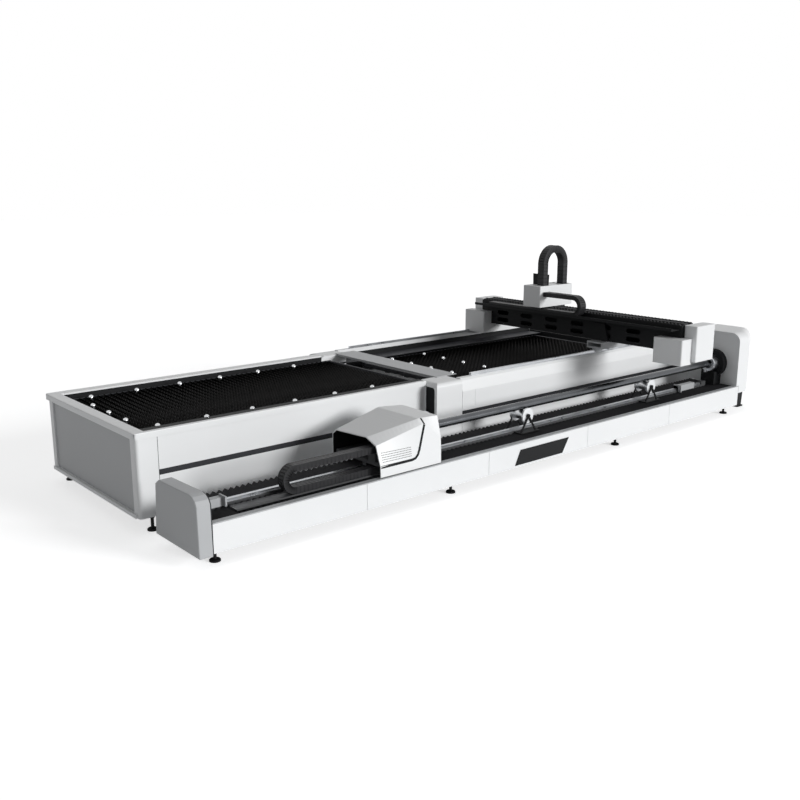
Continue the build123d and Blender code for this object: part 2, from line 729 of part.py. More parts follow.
def fixed_chuck():
    """Bearing ring on the tower face, the neck under it and the turning rotor."""
    x1 = TOWER_X0
    x0 = x1 - RING_LENGTH
    ring = rod_x(x0, x1, AXIS_Y, AXIS_Z, RING_RADIUS)
    neck = block(x1 - NECK_LENGTH, x0, AXIS_Y - NECK_WIDTH / 2, AXIS_Y + NECK_WIDTH / 2,
                 RIB_TOP, AXIS_Z - BARREL_RADIUS)
    back = block(x0, x1, AXIS_Y - NECK_WIDTH / 2, AXIS_Y + NECK_WIDTH / 2, RIB_TOP, AXIS_Z)
    body = ring + neck + back
    bore = BARREL_RADIUS + FIT
    body -= rod_x(x1 - NECK_LENGTH - 1, x1 + 1, AXIS_Y, AXIS_Z, bore)
    add("fixed_chuck_body", body)
    rotor_x0 = x1 - BARREL_LENGTH
    rotor = rod_x(rotor_x0, x1, AXIS_Y, AXIS_Z, BARREL_RADIUS)
    rotor -= rod_x(rotor_x0 - 1, x1 + 1, AXIS_Y, AXIS_Z, ROTOR_BORE)
    edge = [e for e in rotor.edges().filter_by(GeomType.CIRCLE)
            if e.center().X < rotor_x0 + 1 and e.radius > ROTOR_BORE + 1]
    add("fixed_chuck_rotor", chamfer(edge, 8))
    jaws("fixed_chuck_jaw", rotor_x0 - JAW_LENGTH, rotor_x0)


def jaws(name, x0, x1):
    """Clamping jaws round the tube, each with a stepped tip."""
    reach = TUBE_RADIUS + FIT
    half = JAW_WIDTH / 2
    outline = [(-half / 2, reach), (half / 2, reach), (half, reach + half),
               (half, reach + JAW_HEIGHT), (-half, reach + JAW_HEIGHT), (-half, reach + half)]
    for i in range(JAW_COUNT):
        turn = 2 * pi * i / JAW_COUNT
        c, s = cos(turn), sin(turn)
        points = [(AXIS_Y + u * c - v * s, AXIS_Z + u * s + v * c) for u, v in outline]
        add(f"{name}_{i + 1}", prism_x(points, x0, x1))


def moving_chuck():
    """Saddle, bearing housing, drive motor, spindle, jaws and the cover."""
    saddle = block(CHUCK_X0 + 15, CHUCK_X1 - SHEET, CHUCK_Y0 + SHEET + 30, CHUCK_Y1 - SHEET - 30,
                   SADDLE_Z0, SADDLE_TOP)
    for x in (CHUCK_X0 + 60, CHUCK_X1 - 60 - RUNNER_LENGTH):
        runner = block(x, x + RUNNER_LENGTH, SEAT_Y0, SEAT_Y1, GUIDE_TOP - 12, SADDLE_Z0)
        runner -= block(x - 1, x + RUNNER_LENGTH + 1, GUIDE_Y0 - FIT, GUIDE_Y1 + FIT,
                        GUIDE_TOP - 13, GUIDE_TOP + FIT)
        saddle += runner
    housing_x0 = CHUCK_X1 - SHEET - HOUSING_LENGTH
    housing = block(housing_x0, CHUCK_X1 - SHEET, AXIS_Y - HOUSING_WIDTH / 2,
                    AXIS_Y + HOUSING_WIDTH / 2, SADDLE_TOP, AXIS_Z + ROTOR_RADIUS + 20)
    saddle += housing
    saddle -= rod_x(housing_x0 - 1, CHUCK_X1, AXIS_Y, AXIS_Z, ROTOR_RADIUS + FIT)
    bracket = block(CHUCK_X0 + 15, CHUCK_X0 + 65, CHAIN_Y - CHAIN_WIDTH / 2,
                    CHAIN_Y + CHAIN_WIDTH / 2, SADDLE_TOP,
                    RIB_TOP + CHAIN_BED + 2 * CHAIN_BEND - CHAIN_LINK)
    saddle += bracket
    add("chuck_saddle", saddle)
    spindle_x0 = housing_x0 - (SPINDLE_TAIL - HOUSING_LENGTH)
    flange_x0 = CHUCK_X1 + SHEET
    spindle = rod_x(spindle_x0, flange_x0, AXIS_Y, AXIS_Z, ROTOR_RADIUS)
    spindle += rod_x(flange_x0, flange_x0 + FLANGE_LENGTH, AXIS_Y, AXIS_Z, FLANGE_RADIUS)
    spindle -= rod_x(spindle_x0 - 1, flange_x0 + FLANGE_LENGTH + 1, AXIS_Y, AXIS_Z,
                     ROTOR_BORE)
    add("chuck_spindle", spindle)
    jaws("chuck_jaw", flange_x0 + FLANGE_LENGTH, flange_x0 + FLANGE_LENGTH + JAW_LENGTH)
    tube = rod_x(TUBE_START, TUBE_END, AXIS_Y, AXIS_Z, TUBE_RADIUS)
    tube -= rod_x(TUBE_START - 1, TUBE_END + 1, AXIS_Y, AXIS_Z, TUBE_RADIUS - TUBE_WALL)
    add("work_tube", tube)
    chuck_cover()


def cover_outline():
    y0, y1 = CHUCK_Y0, CHUCK_Y1
    return [(y0, CHUCK_Z0), (y1, CHUCK_Z0), (y1, CHUCK_TOP - 110), (y1 - 70, CHUCK_TOP),
            (y0 + 62, CHUCK_TOP), (y0 + 16, CHUCK_TOP - 46)]


def chuck_cover():
    """Sheet cover with a sloping nose, open at its left end and underneath."""
    outline = cover_outline()
    shell = prism_x(outline, CHUCK_X0, CHUCK_X1)
    inner = prism_x(inset(outline, SHEET), CHUCK_X0 - 1, CHUCK_X1 - SHEET)
    slope_end = CHUCK_X0 + CHUCK_RAMP
    drop = CHUCK_TOP - CHUCK_NOSE
    above = [(CHUCK_X0 - 2, CHUCK_NOSE), (slope_end, CHUCK_TOP), (slope_end, CHUCK_TOP + 200),
             (CHUCK_X0 - 2, CHUCK_TOP + 200)]
    lower = [(x, z - SHEET) for x, z in above]
    shell -= prism_y(above, CHUCK_Y0 - 50, CHUCK_Y1 + 50)
    inner -= prism_y(lower, CHUCK_Y0 - 50, CHUCK_Y1 + 50)
    shell -= inner
    shell -= block(CHUCK_X0 - 1, CHUCK_X1 - SHEET, CHUCK_Y0 + SHEET, CHUCK_Y1 - SHEET,
                   CHUCK_Z0 - 1, CHUCK_Z0 + SHEET + 1)
    shell -= rod_x(CHUCK_X1 - 2 * SHEET, CHUCK_X1 + 1, AXIS_Y, AXIS_Z, ROTOR_RADIUS + 4)
    vent_x0 = CHUCK_X0 + 32
    vent_z0 = 479
    for i in range(VENT_ROWS):
        z = vent_z0 + i * VENT_PITCH
        shell -= block(vent_x0, vent_x0 + VENT_LENGTH, CHUCK_Y0 - 1, CHUCK_Y0 + 3 * SHEET,
                       z, z + VENT_HEIGHT)
    for y0, y1 in ((CHUCK_Y0 + SHEET, CHUCK_Y0 + SHEET + 30),
                   (CHUCK_Y1 - SHEET - 30, CHUCK_Y1 - SHEET)):
        shell += block(CHUCK_X0 + 15, CHUCK_X1 - SHEET, y0, y1, SADDLE_Z0, SADDLE_Z0 + SHEET)
    shell -= block(CHUCK_X1 - 2 * SHEET, CHUCK_X1 + 1, CHUCK_Y0 + 30, CHUCK_Y1 - 30,
                   CHUCK_Z0 - 1, SADDLE_Z0)
    add("chuck_cover", shell)


def u_chain_x(turn_x, y0, y1, z_low, bend, link, upper_x, lower_x):
    """Energy chain lying on its side run: lower run, bend on the left, upper run."""
    centre = z_low + bend
    outer = rod_y(turn_x, y0, y1, centre, bend) - rod_y(turn_x, y0 - 1, y1 + 1, centre, bend - link)
    outer -= block(turn_x, turn_x + bend + 1, y0 - 1, y1 + 1, z_low - 1, z_low + 2 * bend + 1)
    lower = block(turn_x, lower_x, y0, y1, z_low, z_low + link)
    upper = block(turn_x, upper_x, y0, y1, z_low + 2 * bend - link, z_low + 2 * bend)
    return outer + lower + upper


def chuck_chain():
    y0, y1 = CHAIN_Y - CHAIN_WIDTH / 2, CHAIN_Y + CHAIN_WIDTH / 2
    z0 = RIB_TOP + CHAIN_BED
    add("chuck_chain", u_chain_x(CHAIN_TURN_X, y0, y1, z0, CHAIN_BEND, CHAIN_LINK,
                                 CHUCK_X0 + 65, CHAIN_FIXED_X))
    bed = block(CHAIN_BED_X0, CHAIN_FIXED_X, y0 - 10, y1 + 10, RIB_TOP, z0)
    more("rail_seat", bed - block(CHAIN_BED_X0 - 1, CHAIN_FIXED_X - 40, y0 - 4, y1 + 4,
                                  RIB_TOP + CHAIN_BED - 4, z0 + 1))


def stands():
    """Two stands that carry the tube on a waisted roller between flanges."""
    axle_z = AXIS_Z - TUBE_RADIUS - ROLLER_CORE - FIT
    half = ROLLER_WIDTH / 2
    near = AXIS_Y - half
    far = AXIS_Y + half
    gap = 2
    for n, x in enumerate(STAND_X, 1):
        stand = None
        for y in (near - gap - STAND_PLATE, far + gap):
            foot_x = STAND_SPREAD + STAND_LEG
            outer = [(x - foot_x, RIB_TOP), (x + foot_x, RIB_TOP), (x + STAND_LEG, axle_z + 26),
                     (x - STAND_LEG, axle_z + 26)]
            plate = prism_y(outer, y, y + STAND_PLATE)
            hole = [(x - STAND_SPREAD + STAND_LEG, RIB_TOP + 22),
                    (x + STAND_SPREAD - STAND_LEG, RIB_TOP + 22), (x, axle_z - 38)]
            plate -= prism_y(hole, y - 1, y + STAND_PLATE + 1)
            sole = block(x - foot_x - 10, x + foot_x + 10, y - 14, y + STAND_PLATE + 14,
                         RIB_TOP, RIB_TOP + 8)
            stand = plate + sole if stand is None else stand + plate + sole
        axle = rod_y(x, near - gap - STAND_PLATE - 8, far + gap + STAND_PLATE + 8, axle_z,
                     AXLE_RADIUS)
        stand += axle
        if n == 1:
            add("roller_stands", stand)
        else:
            more("roller_stands", stand)
        profile = rod_y(x, near, far, axle_z, ROLLER_FLANGE)
        waist = rod_y(x, near + ROLLER_LIP, far - ROLLER_LIP, axle_z, ROLLER_FLANGE + 1)
        waist -= rod_y(x, near + ROLLER_LIP - 1, far - ROLLER_LIP + 1, axle_z, ROLLER_CORE)
        roller = profile - waist - rod_y(x, near - 1, far + 1, axle_z, AXLE_RADIUS + FIT)
        add(f"roller_{n}", roller)


def gantry_rails():
    """Rails and racks on the tops of the bed walls."""
    rails = []
    for face, inward in ((BED_Y0, 1), (BED_Y1, -1)):
        middle = face + inward * XRAIL_INSET
        rails.append(block(XRAIL_X0, XRAIL_X1, middle - XRAIL_WIDTH / 2, middle + XRAIL_WIDTH / 2,
                           BED_TOP, BED_TOP + XRAIL_HEIGHT))
    add("gantry_rails", *rails)


def slots_in_beam():
    """Lightening slots through both sides of the beam, in two rows."""
    cuts = []
    count = int((BEAM_Y1 - BEAM_Y0 - 200) / SLOT_PITCH)
    for row, z in enumerate(SLOT_ROWS):
        for i in range(count):
            y = BEAM_Y0 + 520 + i * SLOT_PITCH
            if y + SLOT_LENGTH > BEAM_Y1 - 120:
                continue
            half = SLOT_HEIGHT / 2
            cut = block(BEAM_X0 - 1, BEAM_X0 + BEAM_WALL + 1, y + half, y + SLOT_LENGTH - half,
                        z - half, z + half)
            cut += rod_x(BEAM_X0 - 1, BEAM_X0 + BEAM_WALL + 1, y + half, z, half)
            cut += rod_x(BEAM_X0 - 1, BEAM_X0 + BEAM_WALL + 1, y + SLOT_LENGTH - half, z, half)
            cuts.append(cut)
    return cuts


def beam():
    """Cross beam with its saddles, end caps and drive covers."""
    body = block(BEAM_X0, BEAM_X1, BEAM_Y0, BEAM_Y1, BEAM_Z0, BEAM_TOP)
    body -= block(BEAM_X0 + BEAM_WALL, BEAM_X1 - BEAM_WALL, BEAM_Y0 + BEAM_WALL,
                  BEAM_Y1 - BEAM_WALL, BEAM_Z0 + BEAM_WALL, BEAM_TOP - BEAM_WALL)
    for cut in slots_in_beam():
        body -= cut
    add("gantry_beam", body)
    saddles = []
    for y0, y1, face, inward in ((NEAR_SADDLE_Y0, NEAR_SADDLE_Y1, BED_Y0, 1),
                                 (FAR_COVER_Y0 + 20, FAR_COVER_Y1 - 12, BED_Y1, -1)):
        saddle = block(SADDLE_X0, SADDLE_X1, y0, y1, RUNNER_TOP, BEAM_Z0)
        saddle -= block(SADDLE_X0 - 1, SADDLE_X1 + 1, y0 + 15, y1 - 15, RUNNER_TOP + 20,
                        BEAM_Z0 - 20)
        middle = face + inward * XRAIL_INSET
        for x in (SADDLE_X0 + 30, SADDLE_X1 - 30 - RUNNER_LENGTH):
            runner = block(x, x + RUNNER_LENGTH, middle - 30, middle + 30, BED_TOP + 10, RUNNER_TOP)
            runner -= block(x - 1, x + RUNNER_LENGTH + 1, middle - XRAIL_WIDTH / 2 - FIT,
                            middle + XRAIL_WIDTH / 2 + FIT, BED_TOP, BED_TOP + XRAIL_HEIGHT + FIT)
            saddle += runner
        saddles.append(saddle)
    add("gantry_saddles", *saddles)
    far = block(COVER_X0, FAR_COVER_X1, FAR_COVER_Y0, FAR_COVER_Y1, COVER_Z0, BEAM_Z0)
    far += block(COVER_X0, BEAM_X0, FAR_COVER_Y0, FAR_COVER_Y1, BEAM_Z0, COVER_TOP)
    far = fillet(edges_near(far, Axis.Z, lambda c: c.X < COVER_X0 + 1), COVER_ROUND)
    pocket = block(COVER_X0 + SHEET, FAR_COVER_X1 - SHEET, FAR_COVER_Y0 + SHEET,
                   FAR_COVER_Y1 - SHEET, COVER_Z0 - 1, BEAM_Z0 + 1)
    high = block(COVER_X0 + SHEET, BEAM_X0 - SHEET, FAR_COVER_Y0 + SHEET,
                 FAR_COVER_Y1 - SHEET, COVER_Z0 - 1, COVER_TOP - SHEET)
    roof = block(SADDLE_X1, FAR_COVER_X1, FAR_COVER_Y0, FAR_COVER_Y1, BEAM_Z0 - SHEET, BEAM_Z0)
    far = far - pocket - high + roof
    rail_y = BED_Y1 - XRAIL_INSET
    far -= block(COVER_X0 - 1, FAR_COVER_X1 + 1, rail_y - XRAIL_WIDTH, rail_y + XRAIL_WIDTH,
                 COVER_Z0 - 1, BED_TOP + XRAIL_HEIGHT + SHEET)
    near = block(COVER_X0, BEAM_X0, NEAR_COVER_Y0, NEAR_COVER_Y1, COVER_Z0, COVER_TOP)
    near += block(BEAM_X0, CAP_X0, NEAR_COVER_Y0, BEAM_Y0, COVER_Z0, COVER_TOP)
    near = fillet(edges_near(near, Axis.Z, lambda c: c.X < COVER_X0 + 1), COVER_ROUND)
    near -= block(COVER_X0 + SHEET, BEAM_X0 - SHEET, NEAR_COVER_Y0 + SHEET,
                  NEAR_COVER_Y1 - SHEET, COVER_Z0 - 1, COVER_TOP - SHEET)
    add("drive_covers", far, near)
    caps = []
    for y0, y1, z0 in ((BEAM_Y0 - NEAR_CAP, BEAM_Y0, CAP_Z0),
                       (BEAM_Y1, BEAM_Y1 + FAR_CAP, BEAM_Z0)):
        cap = block(CAP_X0, CAP_X1, y0, y1, z0, CAP_Z1)
        cap = fillet(cap.edges().filter_by(Axis.Z), COVER_ROUND)
        cap -= block(CAP_X0 + SHEET, CAP_X1 - SHEET, y0 + SHEET, y1 - SHEET, z0 - 1,
                     CAP_Z1 - SHEET)
        caps.append(cap)
    add("beam_end_caps", *caps)
    gusset = [(NEAR_SADDLE_Y0, BEAM_Z0), (NEAR_SADDLE_Y1, BEAM_Z0),
              (NEAR_SADDLE_Y1 - 40, BEAM_TOP - 90), (NEAR_SADDLE_Y0 + 60, BEAM_TOP - 90)]
    more("gantry_saddles", prism_x(gusset, BEAM_X0 - 2 * SHEET, BEAM_X0))


def motors():
    """Drive motors inside the two covers of the gantry."""
    far_y = (FAR_COVER_Y0 + FAR_COVER_Y1) / 2
    x = (SADDLE_X0 + BEAM_X0) / 2
    far = block(x - 46, x + 46, far_y - 46, far_y + 46, BEAM_Z0, BEAM_Z0 + 40)
    far += rod_z(x, far_y, BEAM_Z0 + 40, COVER_TOP - 30, 42)
    near_y = (NEAR_COVER_Y0 + NEAR_COVER_Y1) / 2
    near = rod_y(x, near_y - 120, near_y + 60, COVER_Z0 + 180, 45)
    near += block(x - 50, BEAM_X0 - SHEET, near_y + 60, near_y + 130, COVER_Z0 + 125, COVER_Z0 + 235)
    add("gantry_motors", far, near)


def cross_rails():
    """Rails on the beam top, the ribbed cover between them and the chain tray."""
    rails = []
    for x in (BEAM_X0 + YRAIL_INSET, BEAM_X1 - YRAIL_INSET - YRAIL_WIDTH):
        rails.append(block(x, x + YRAIL_WIDTH, BEAM_Y0 + 20, BEAM_Y1 - 20, BEAM_TOP,
                           BEAM_TOP + YRAIL_HEIGHT))
    add("cross_rails", *rails)
    ribs = []
    side = YRAIL_INSET - RUNNER_SIDE - 2
    inner = YRAIL_INSET + YRAIL_WIDTH + RUNNER_SIDE + 2
    for x0, x1 in ((BEAM_X0, BEAM_X0 + side), (BEAM_X0 + inner, BEAM_X1 - inner),
                   (BEAM_X1 - side, BEAM_X1)):
        ribs.append(rib_strip(x0, x1, BEAM_Y0 + 20, BEAM_Y1 - 20))
    add("beam_ribs", *ribs)
    tray = block(TRAY_X0, BEAM_X0, BEAM_Y0 + 20, BEAM_Y1 - 20, TRAY_Z, TRAY_Z + SHEET)
    tray += block(TRAY_X0, TRAY_X0 + SHEET, BEAM_Y0 + 20, BEAM_Y1 - 20, TRAY_Z + SHEET,
                  TRAY_Z + TRAY_LIP)
    add("chain_tray", tray)


def rib_strip(x0, x1, y0, y1):
    """Low folded cover along the beam top, below the carriage."""
    count = int((y1 - y0) / BEAM_RIB_PITCH)
    pitch = (y1 - y0) / count
    points = [(y0, BEAM_TOP), (y1, BEAM_TOP)]
    for i in range(count):
        points.append((y1 - i * pitch, BEAM_TOP + BEAM_RIB_FOOT))
        points.append((y1 - (i + 0.5) * pitch, BEAM_TOP + BEAM_RIB_TOP))
    points.append((y0, BEAM_TOP + BEAM_RIB_FOOT))
    return prism_x(points, x0, x1)


def beam_chain():
    """Energy chain that lies in the tray and feeds the carriage."""
    x0, x1 = YCHAIN_X0, YCHAIN_X0 + YCHAIN_WIDTH
    z0 = TRAY_Z + SHEET
    centre = z0 + YCHAIN_BEND
    turn = YCHAIN_TURN_Y
    bend = rod_x(x0, x1, turn, centre, YCHAIN_BEND)
    bend -= rod_x(x0 - 1, x1 + 1, turn, centre, YCHAIN_BEND - YCHAIN_LINK)
    bend -= block(x0 - 1, x1 + 1, turn, turn + 2 * YCHAIN_BEND, z0 - 1, z0 + 2 * YCHAIN_BEND + 1)
    lower = block(x0, x1, turn, YCHAIN_FIXED_Y, z0, z0 + YCHAIN_LINK)
    upper = block(x0, x1, turn, CARRIAGE_Y0, z0 + 2 * YCHAIN_BEND - YCHAIN_LINK,
                  z0 + 2 * YCHAIN_BEND)
    add("beam_chain", bend + lower + upper)


def carriage():
    """Cross carriage: plate on the beam rails, upright plate, cover and flag."""
    z0 = BEAM_TOP + YRAIL_HEIGHT + FIT
    plate = block(BEAM_X0 + 15, BEAM_X1 + 20, CARRIAGE_Y0 + SHEET, CARRIAGE_Y1 - SHEET,
                  z0 + 8, z0 + 8 + PLATE_THICKNESS)
    for x in (BEAM_X0 + YRAIL_INSET, BEAM_X1 - YRAIL_INSET - YRAIL_WIDTH):
        for y in (CARRIAGE_Y0 + 30, CARRIAGE_Y1 - 30 - 80):
            runner = block(x - RUNNER_SIDE, x + YRAIL_WIDTH + RUNNER_SIDE, y, y + 80,
                           BEAM_TOP + 6, z0 + 8)
            runner -= block(x - FIT, x + YRAIL_WIDTH + FIT, y - 1, y + 81, BEAM_TOP, z0)
            plate += runner
    upright_x = BEAM_X1 + 20
    plate += block(upright_x, upright_x + PLATE_THICKNESS, CARRIAGE_Y0 + 35, CARRIAGE_Y1 - 35,
                   HEAD_Z0 - 20, z0 + 8 + PLATE_THICKNESS)
    add("carriage_plate", plate)
    shell = block(CARRIAGE_X0, CARRIAGE_X1, CARRIAGE_Y0, CARRIAGE_Y1, CARRIAGE_Z0, CARRIAGE_TOP)
    shell = fillet(shell.edges().filter_by(Axis.Z), 14)
    shell = fillet(shell.edges().group_by(Axis.Z)[-1], 8)
    shell -= block(CARRIAGE_X0 + SHEET, CARRIAGE_X1 - SHEET, CARRIAGE_Y0 + SHEET,
                   CARRIAGE_Y1 - SHEET, CARRIAGE_Z0 - 1, CARRIAGE_TOP - SHEET)
    leg_x0 = ZCHAIN_X0 + 2 * ZCHAIN_BEND - ZCHAIN_LINK
    shell -= block(leg_x0 - 8, CARRIAGE_X1 - 20, ZCHAIN_Y - ZCHAIN_WIDTH / 2 - 8,
                   HEAD_Y + 60, CARRIAGE_TOP - 2 * SHEET, CARRIAGE_TOP + 1)
    add("carriage_cover", shell)
    flag_x = ZCHAIN_X0 + ZCHAIN_LINK + 4
    flag = prism_x([(CARRIAGE_Y0 + 22, CARRIAGE_TOP), (CARRIAGE_Y1 - 6, CARRIAGE_TOP),
                    (CARRIAGE_Y1 - 2, CARRIAGE_TOP + FLAG_HEIGHT),
                    (CARRIAGE_Y0 + 16, CARRIAGE_TOP + FLAG_HEIGHT)], flag_x, flag_x + SHEET)
    add("chain_bracket", flag)


def cutting_head():
    """Slide plate, head body, lens housing and nozzle, hung on the carriage."""
    upright = BEAM_X1 + 20 + PLATE_THICKNESS
    slide_x = upright + FIT
    slide = block(slide_x, slide_x + 14, HEAD_Y - 70, HEAD_Y + 70, HEAD_Z0 + 20, CARRIAGE_TOP - 60)
    leg_x0 = ZCHAIN_X0 + 2 * ZCHAIN_BEND - ZCHAIN_LINK
    slide += block(slide_x, leg_x0 + ZCHAIN_LINK, ZCHAIN_Y - ZCHAIN_WIDTH / 2, HEAD_Y + 40,
                   CARRIAGE_TOP - 60, CARRIAGE_TOP - 40)
    add("head_slide", slide)
    y0, y1 = HEAD_Y - 45, HEAD_Y + 45
    body = block(slide_x + 14, HEAD_X + HEAD_RADIUS, y0, y1, HEAD_Z0 + 160, HEAD_TOP)
    body = fillet(edges_near(body, Axis.Z, lambda c: c.X > HEAD_X), 16)
    body += rod_z(HEAD_X, HEAD_Y, HEAD_Z0, HEAD_Z0 + 160, HEAD_RADIUS - 4)
    add("head_body", body)
    tip = Pos(HEAD_X, HEAD_Y, (NOZZLE_Z + HEAD_Z0) / 2)
    cone = tip * Cone(9, 32, HEAD_Z0 - NOZZLE_Z)
    cone -= rod_z(HEAD_X, HEAD_Y, NOZZLE_Z - 1, HEAD_Z0 + 1, 2.5)
    add("head_nozzle", cone)


def head_chain():
    """Standing energy chain loop above the carriage."""
    y0, y1 = ZCHAIN_Y - ZCHAIN_WIDTH / 2, ZCHAIN_Y + ZCHAIN_WIDTH / 2
    cx = ZCHAIN_X0 + ZCHAIN_BEND
    cz = ZCHAIN_TOP - ZCHAIN_BEND
    arch = rod_y(cx, y0, y1, cz, ZCHAIN_BEND)
    arch -= rod_y(cx, y0 - 1, y1 + 1, cz, ZCHAIN_BEND - ZCHAIN_LINK)
    arch -= block(cx - 2 * ZCHAIN_BEND, cx + 2 * ZCHAIN_BEND, y0 - 1, y1 + 1,
                  cz - 2 * ZCHAIN_BEND, cz)
    left = block(ZCHAIN_X0, ZCHAIN_X0 + ZCHAIN_LINK, y0, y1, CARRIAGE_TOP, cz)
    right = block(ZCHAIN_X0 + 2 * ZCHAIN_BEND - ZCHAIN_LINK, ZCHAIN_X0 + 2 * ZCHAIN_BEND, y0, y1,
                  CARRIAGE_TOP - 40, cz)
    add("head_chain", arch + left + right)


def pallet_drive():
    """Chain drive motor of the shuttle, on the back wall of the table."""
    x = TABLE_X1 - 160
    y = TABLE_Y1 + RIM_OVERHANG
    body = rod_x(x - 110, x + 90, y + 70, RIM_Z0 - 30, 65)
    body += block(x - 40, x + 90, TABLE_Y1, y + 70, RIM_Z0 - 110, RIM_Z0 - SHEET)
    add("shuttle_motor", body)


def write_parts():
    """Move the whole machine so that its base centre is the origin, then write it."""
    boxes = [solid.bounding_box() for solids in nodes.values() for solid in solids]
    x = (min(b.min.X for b in boxes) + max(b.max.X for b in boxes)) / 2
    y = (min(b.min.Y for b in boxes) + max(b.max.Y for b in boxes)) / 2
    z = min(b.min.Z for b in boxes)
    print("row frame moved by", -x, -y, -z)
    for name, solids in nodes.items():
        placed = [solid.moved(Location((-x, -y, -z))) for solid in solids]
        shape = placed[0] if len(placed) == 1 else Compound(children=placed)
        shape.label = name
        export_step(shape, os.path.join("parts", name + ".step"))


shuttle_table()
cutting_bed()
grooves()
bridge_cover()
pallet_rails()
pallets()
levelling_feet()
pallet_drive()
tube_bed()
end_cap()
tube_guides()
tower()
fixed_chuck()
moving_chuck()
chuck_chain()
stands()
gantry_rails()
beam()
motors()
cross_rails()
beam_chain()
carriage()
cutting_head()
head_chain()
write_parts()
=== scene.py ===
import json
from math import cos, hypot, pi, radians, sin

import bmesh
import bpy
from mathutils import Matrix, Vector


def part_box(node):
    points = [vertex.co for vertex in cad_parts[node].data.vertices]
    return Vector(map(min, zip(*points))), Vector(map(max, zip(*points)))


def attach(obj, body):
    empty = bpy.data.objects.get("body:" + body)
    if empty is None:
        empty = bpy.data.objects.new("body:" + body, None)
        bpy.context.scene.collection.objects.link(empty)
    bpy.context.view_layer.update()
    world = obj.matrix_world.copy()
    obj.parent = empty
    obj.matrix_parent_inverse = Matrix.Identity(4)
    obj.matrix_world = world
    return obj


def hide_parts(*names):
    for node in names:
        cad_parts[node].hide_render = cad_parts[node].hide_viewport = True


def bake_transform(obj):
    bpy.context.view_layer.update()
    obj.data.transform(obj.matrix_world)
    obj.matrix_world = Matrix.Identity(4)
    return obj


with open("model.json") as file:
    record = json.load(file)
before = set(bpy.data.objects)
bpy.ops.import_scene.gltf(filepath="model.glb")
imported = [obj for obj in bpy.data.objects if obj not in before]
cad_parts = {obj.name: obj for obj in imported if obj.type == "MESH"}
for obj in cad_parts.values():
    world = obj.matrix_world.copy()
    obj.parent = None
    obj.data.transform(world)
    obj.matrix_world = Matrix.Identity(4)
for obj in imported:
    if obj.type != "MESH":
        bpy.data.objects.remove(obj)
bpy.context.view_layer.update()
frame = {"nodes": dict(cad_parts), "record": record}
nodes = frame["nodes"]

MM = 0.001

# Place of the drawing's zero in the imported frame, in metres
DRAWING_X = -3.905
DRAWING_Y = -1.293

# Camera solved from the photograph's vanishing points
CAMERA_AZIMUTH = -40.366
CAMERA_ELEVATION = 13.31
CAMERA_LENS = 41.93
CAMERA_SPOT = (-2989.3, -5796.0, 2800.0)


def at(x, y, z):
    """Point of the drawing, in millimetres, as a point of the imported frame."""
    return Vector((x * MM + DRAWING_X, y * MM + DRAWING_Y, z * MM))


def drawing_box(name):
    """Two corners of a node's box, in drawing millimetres."""
    zero = at(0, 0, 0)
    low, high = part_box(name)
    return (low - zero) / MM, (high - zero) / MM


def linear(code):
    """sRGB hex colour as linear light."""
    parts = [int(code[i:i + 2], 16) / 255 for i in (1, 3, 5)]
    return [c / 12.92 if c <= 0.04045 else ((c + 0.055) / 1.055) ** 2.4 for c in parts] + [1]


def add(tree, kind, settings=(), links=()):
    """Add one node, set its sockets or fields, and link sockets into it."""
    node = tree.nodes.new(kind)
    for key, value in dict(settings).items():
        if key in node.inputs:
            node.inputs[key].default_value = value
        else:
            setattr(node, key, value)
    for socket, source in dict(links).items():
        tree.links.new(source, node.inputs[socket])
    return node


def per_metre(size_mm):
    """Pattern scale whose features are about this many millimetres."""
    return 1000 / size_mm


def surface(name, light, dark, patch_mm, grain_mm, depth_mm, rough, spread=0.08,
            metallic=0.0, ior=None, stretch=(1, 1, 1)):
    """Finish with slow colour patches, fine relief and uneven gloss."""
    material = bpy.data.materials.new(name)
    material.use_nodes = True
    tree = material.node_tree
    shader = tree.nodes["Principled BSDF"]
    shader.inputs["Metallic"].default_value = metallic
    if ior:
        shader.inputs["IOR"].default_value = ior
    place = add(tree, "ShaderNodeTexCoord")
    scaled = add(tree, "ShaderNodeMapping", {"Scale": stretch}, {"Vector": place.outputs["Object"]})
    patch = add(tree, "ShaderNodeTexNoise", {"Scale": per_metre(patch_mm), "Detail": 3},
                {"Vector": place.outputs["Object"]})
    colour = add(tree, "ShaderNodeMixRGB", {"Color1": linear(dark), "Color2": linear(light)},
                 {"Fac": patch.outputs["Fac"]})
    grain = add(tree, "ShaderNodeTexNoise", {"Scale": per_metre(grain_mm), "Detail": 2},
                {"Vector": scaled.outputs["Vector"]})
    relief = add(tree, "ShaderNodeBump", {"Distance": depth_mm * MM, "Strength": 0.6},
                 {"Height": grain.outputs["Fac"]})
    gloss = add(tree, "ShaderNodeMapRange", {"To Min": rough - spread, "To Max": rough + spread},
                {"Value": patch.outputs["Fac"]})
    tree.links.new(colour.outputs["Color"], shader.inputs["Base Color"])
    tree.links.new(relief.outputs["Normal"], shader.inputs["Normal"])
    tree.links.new(gloss.outputs["Result"], shader.inputs["Roughness"])
    return material


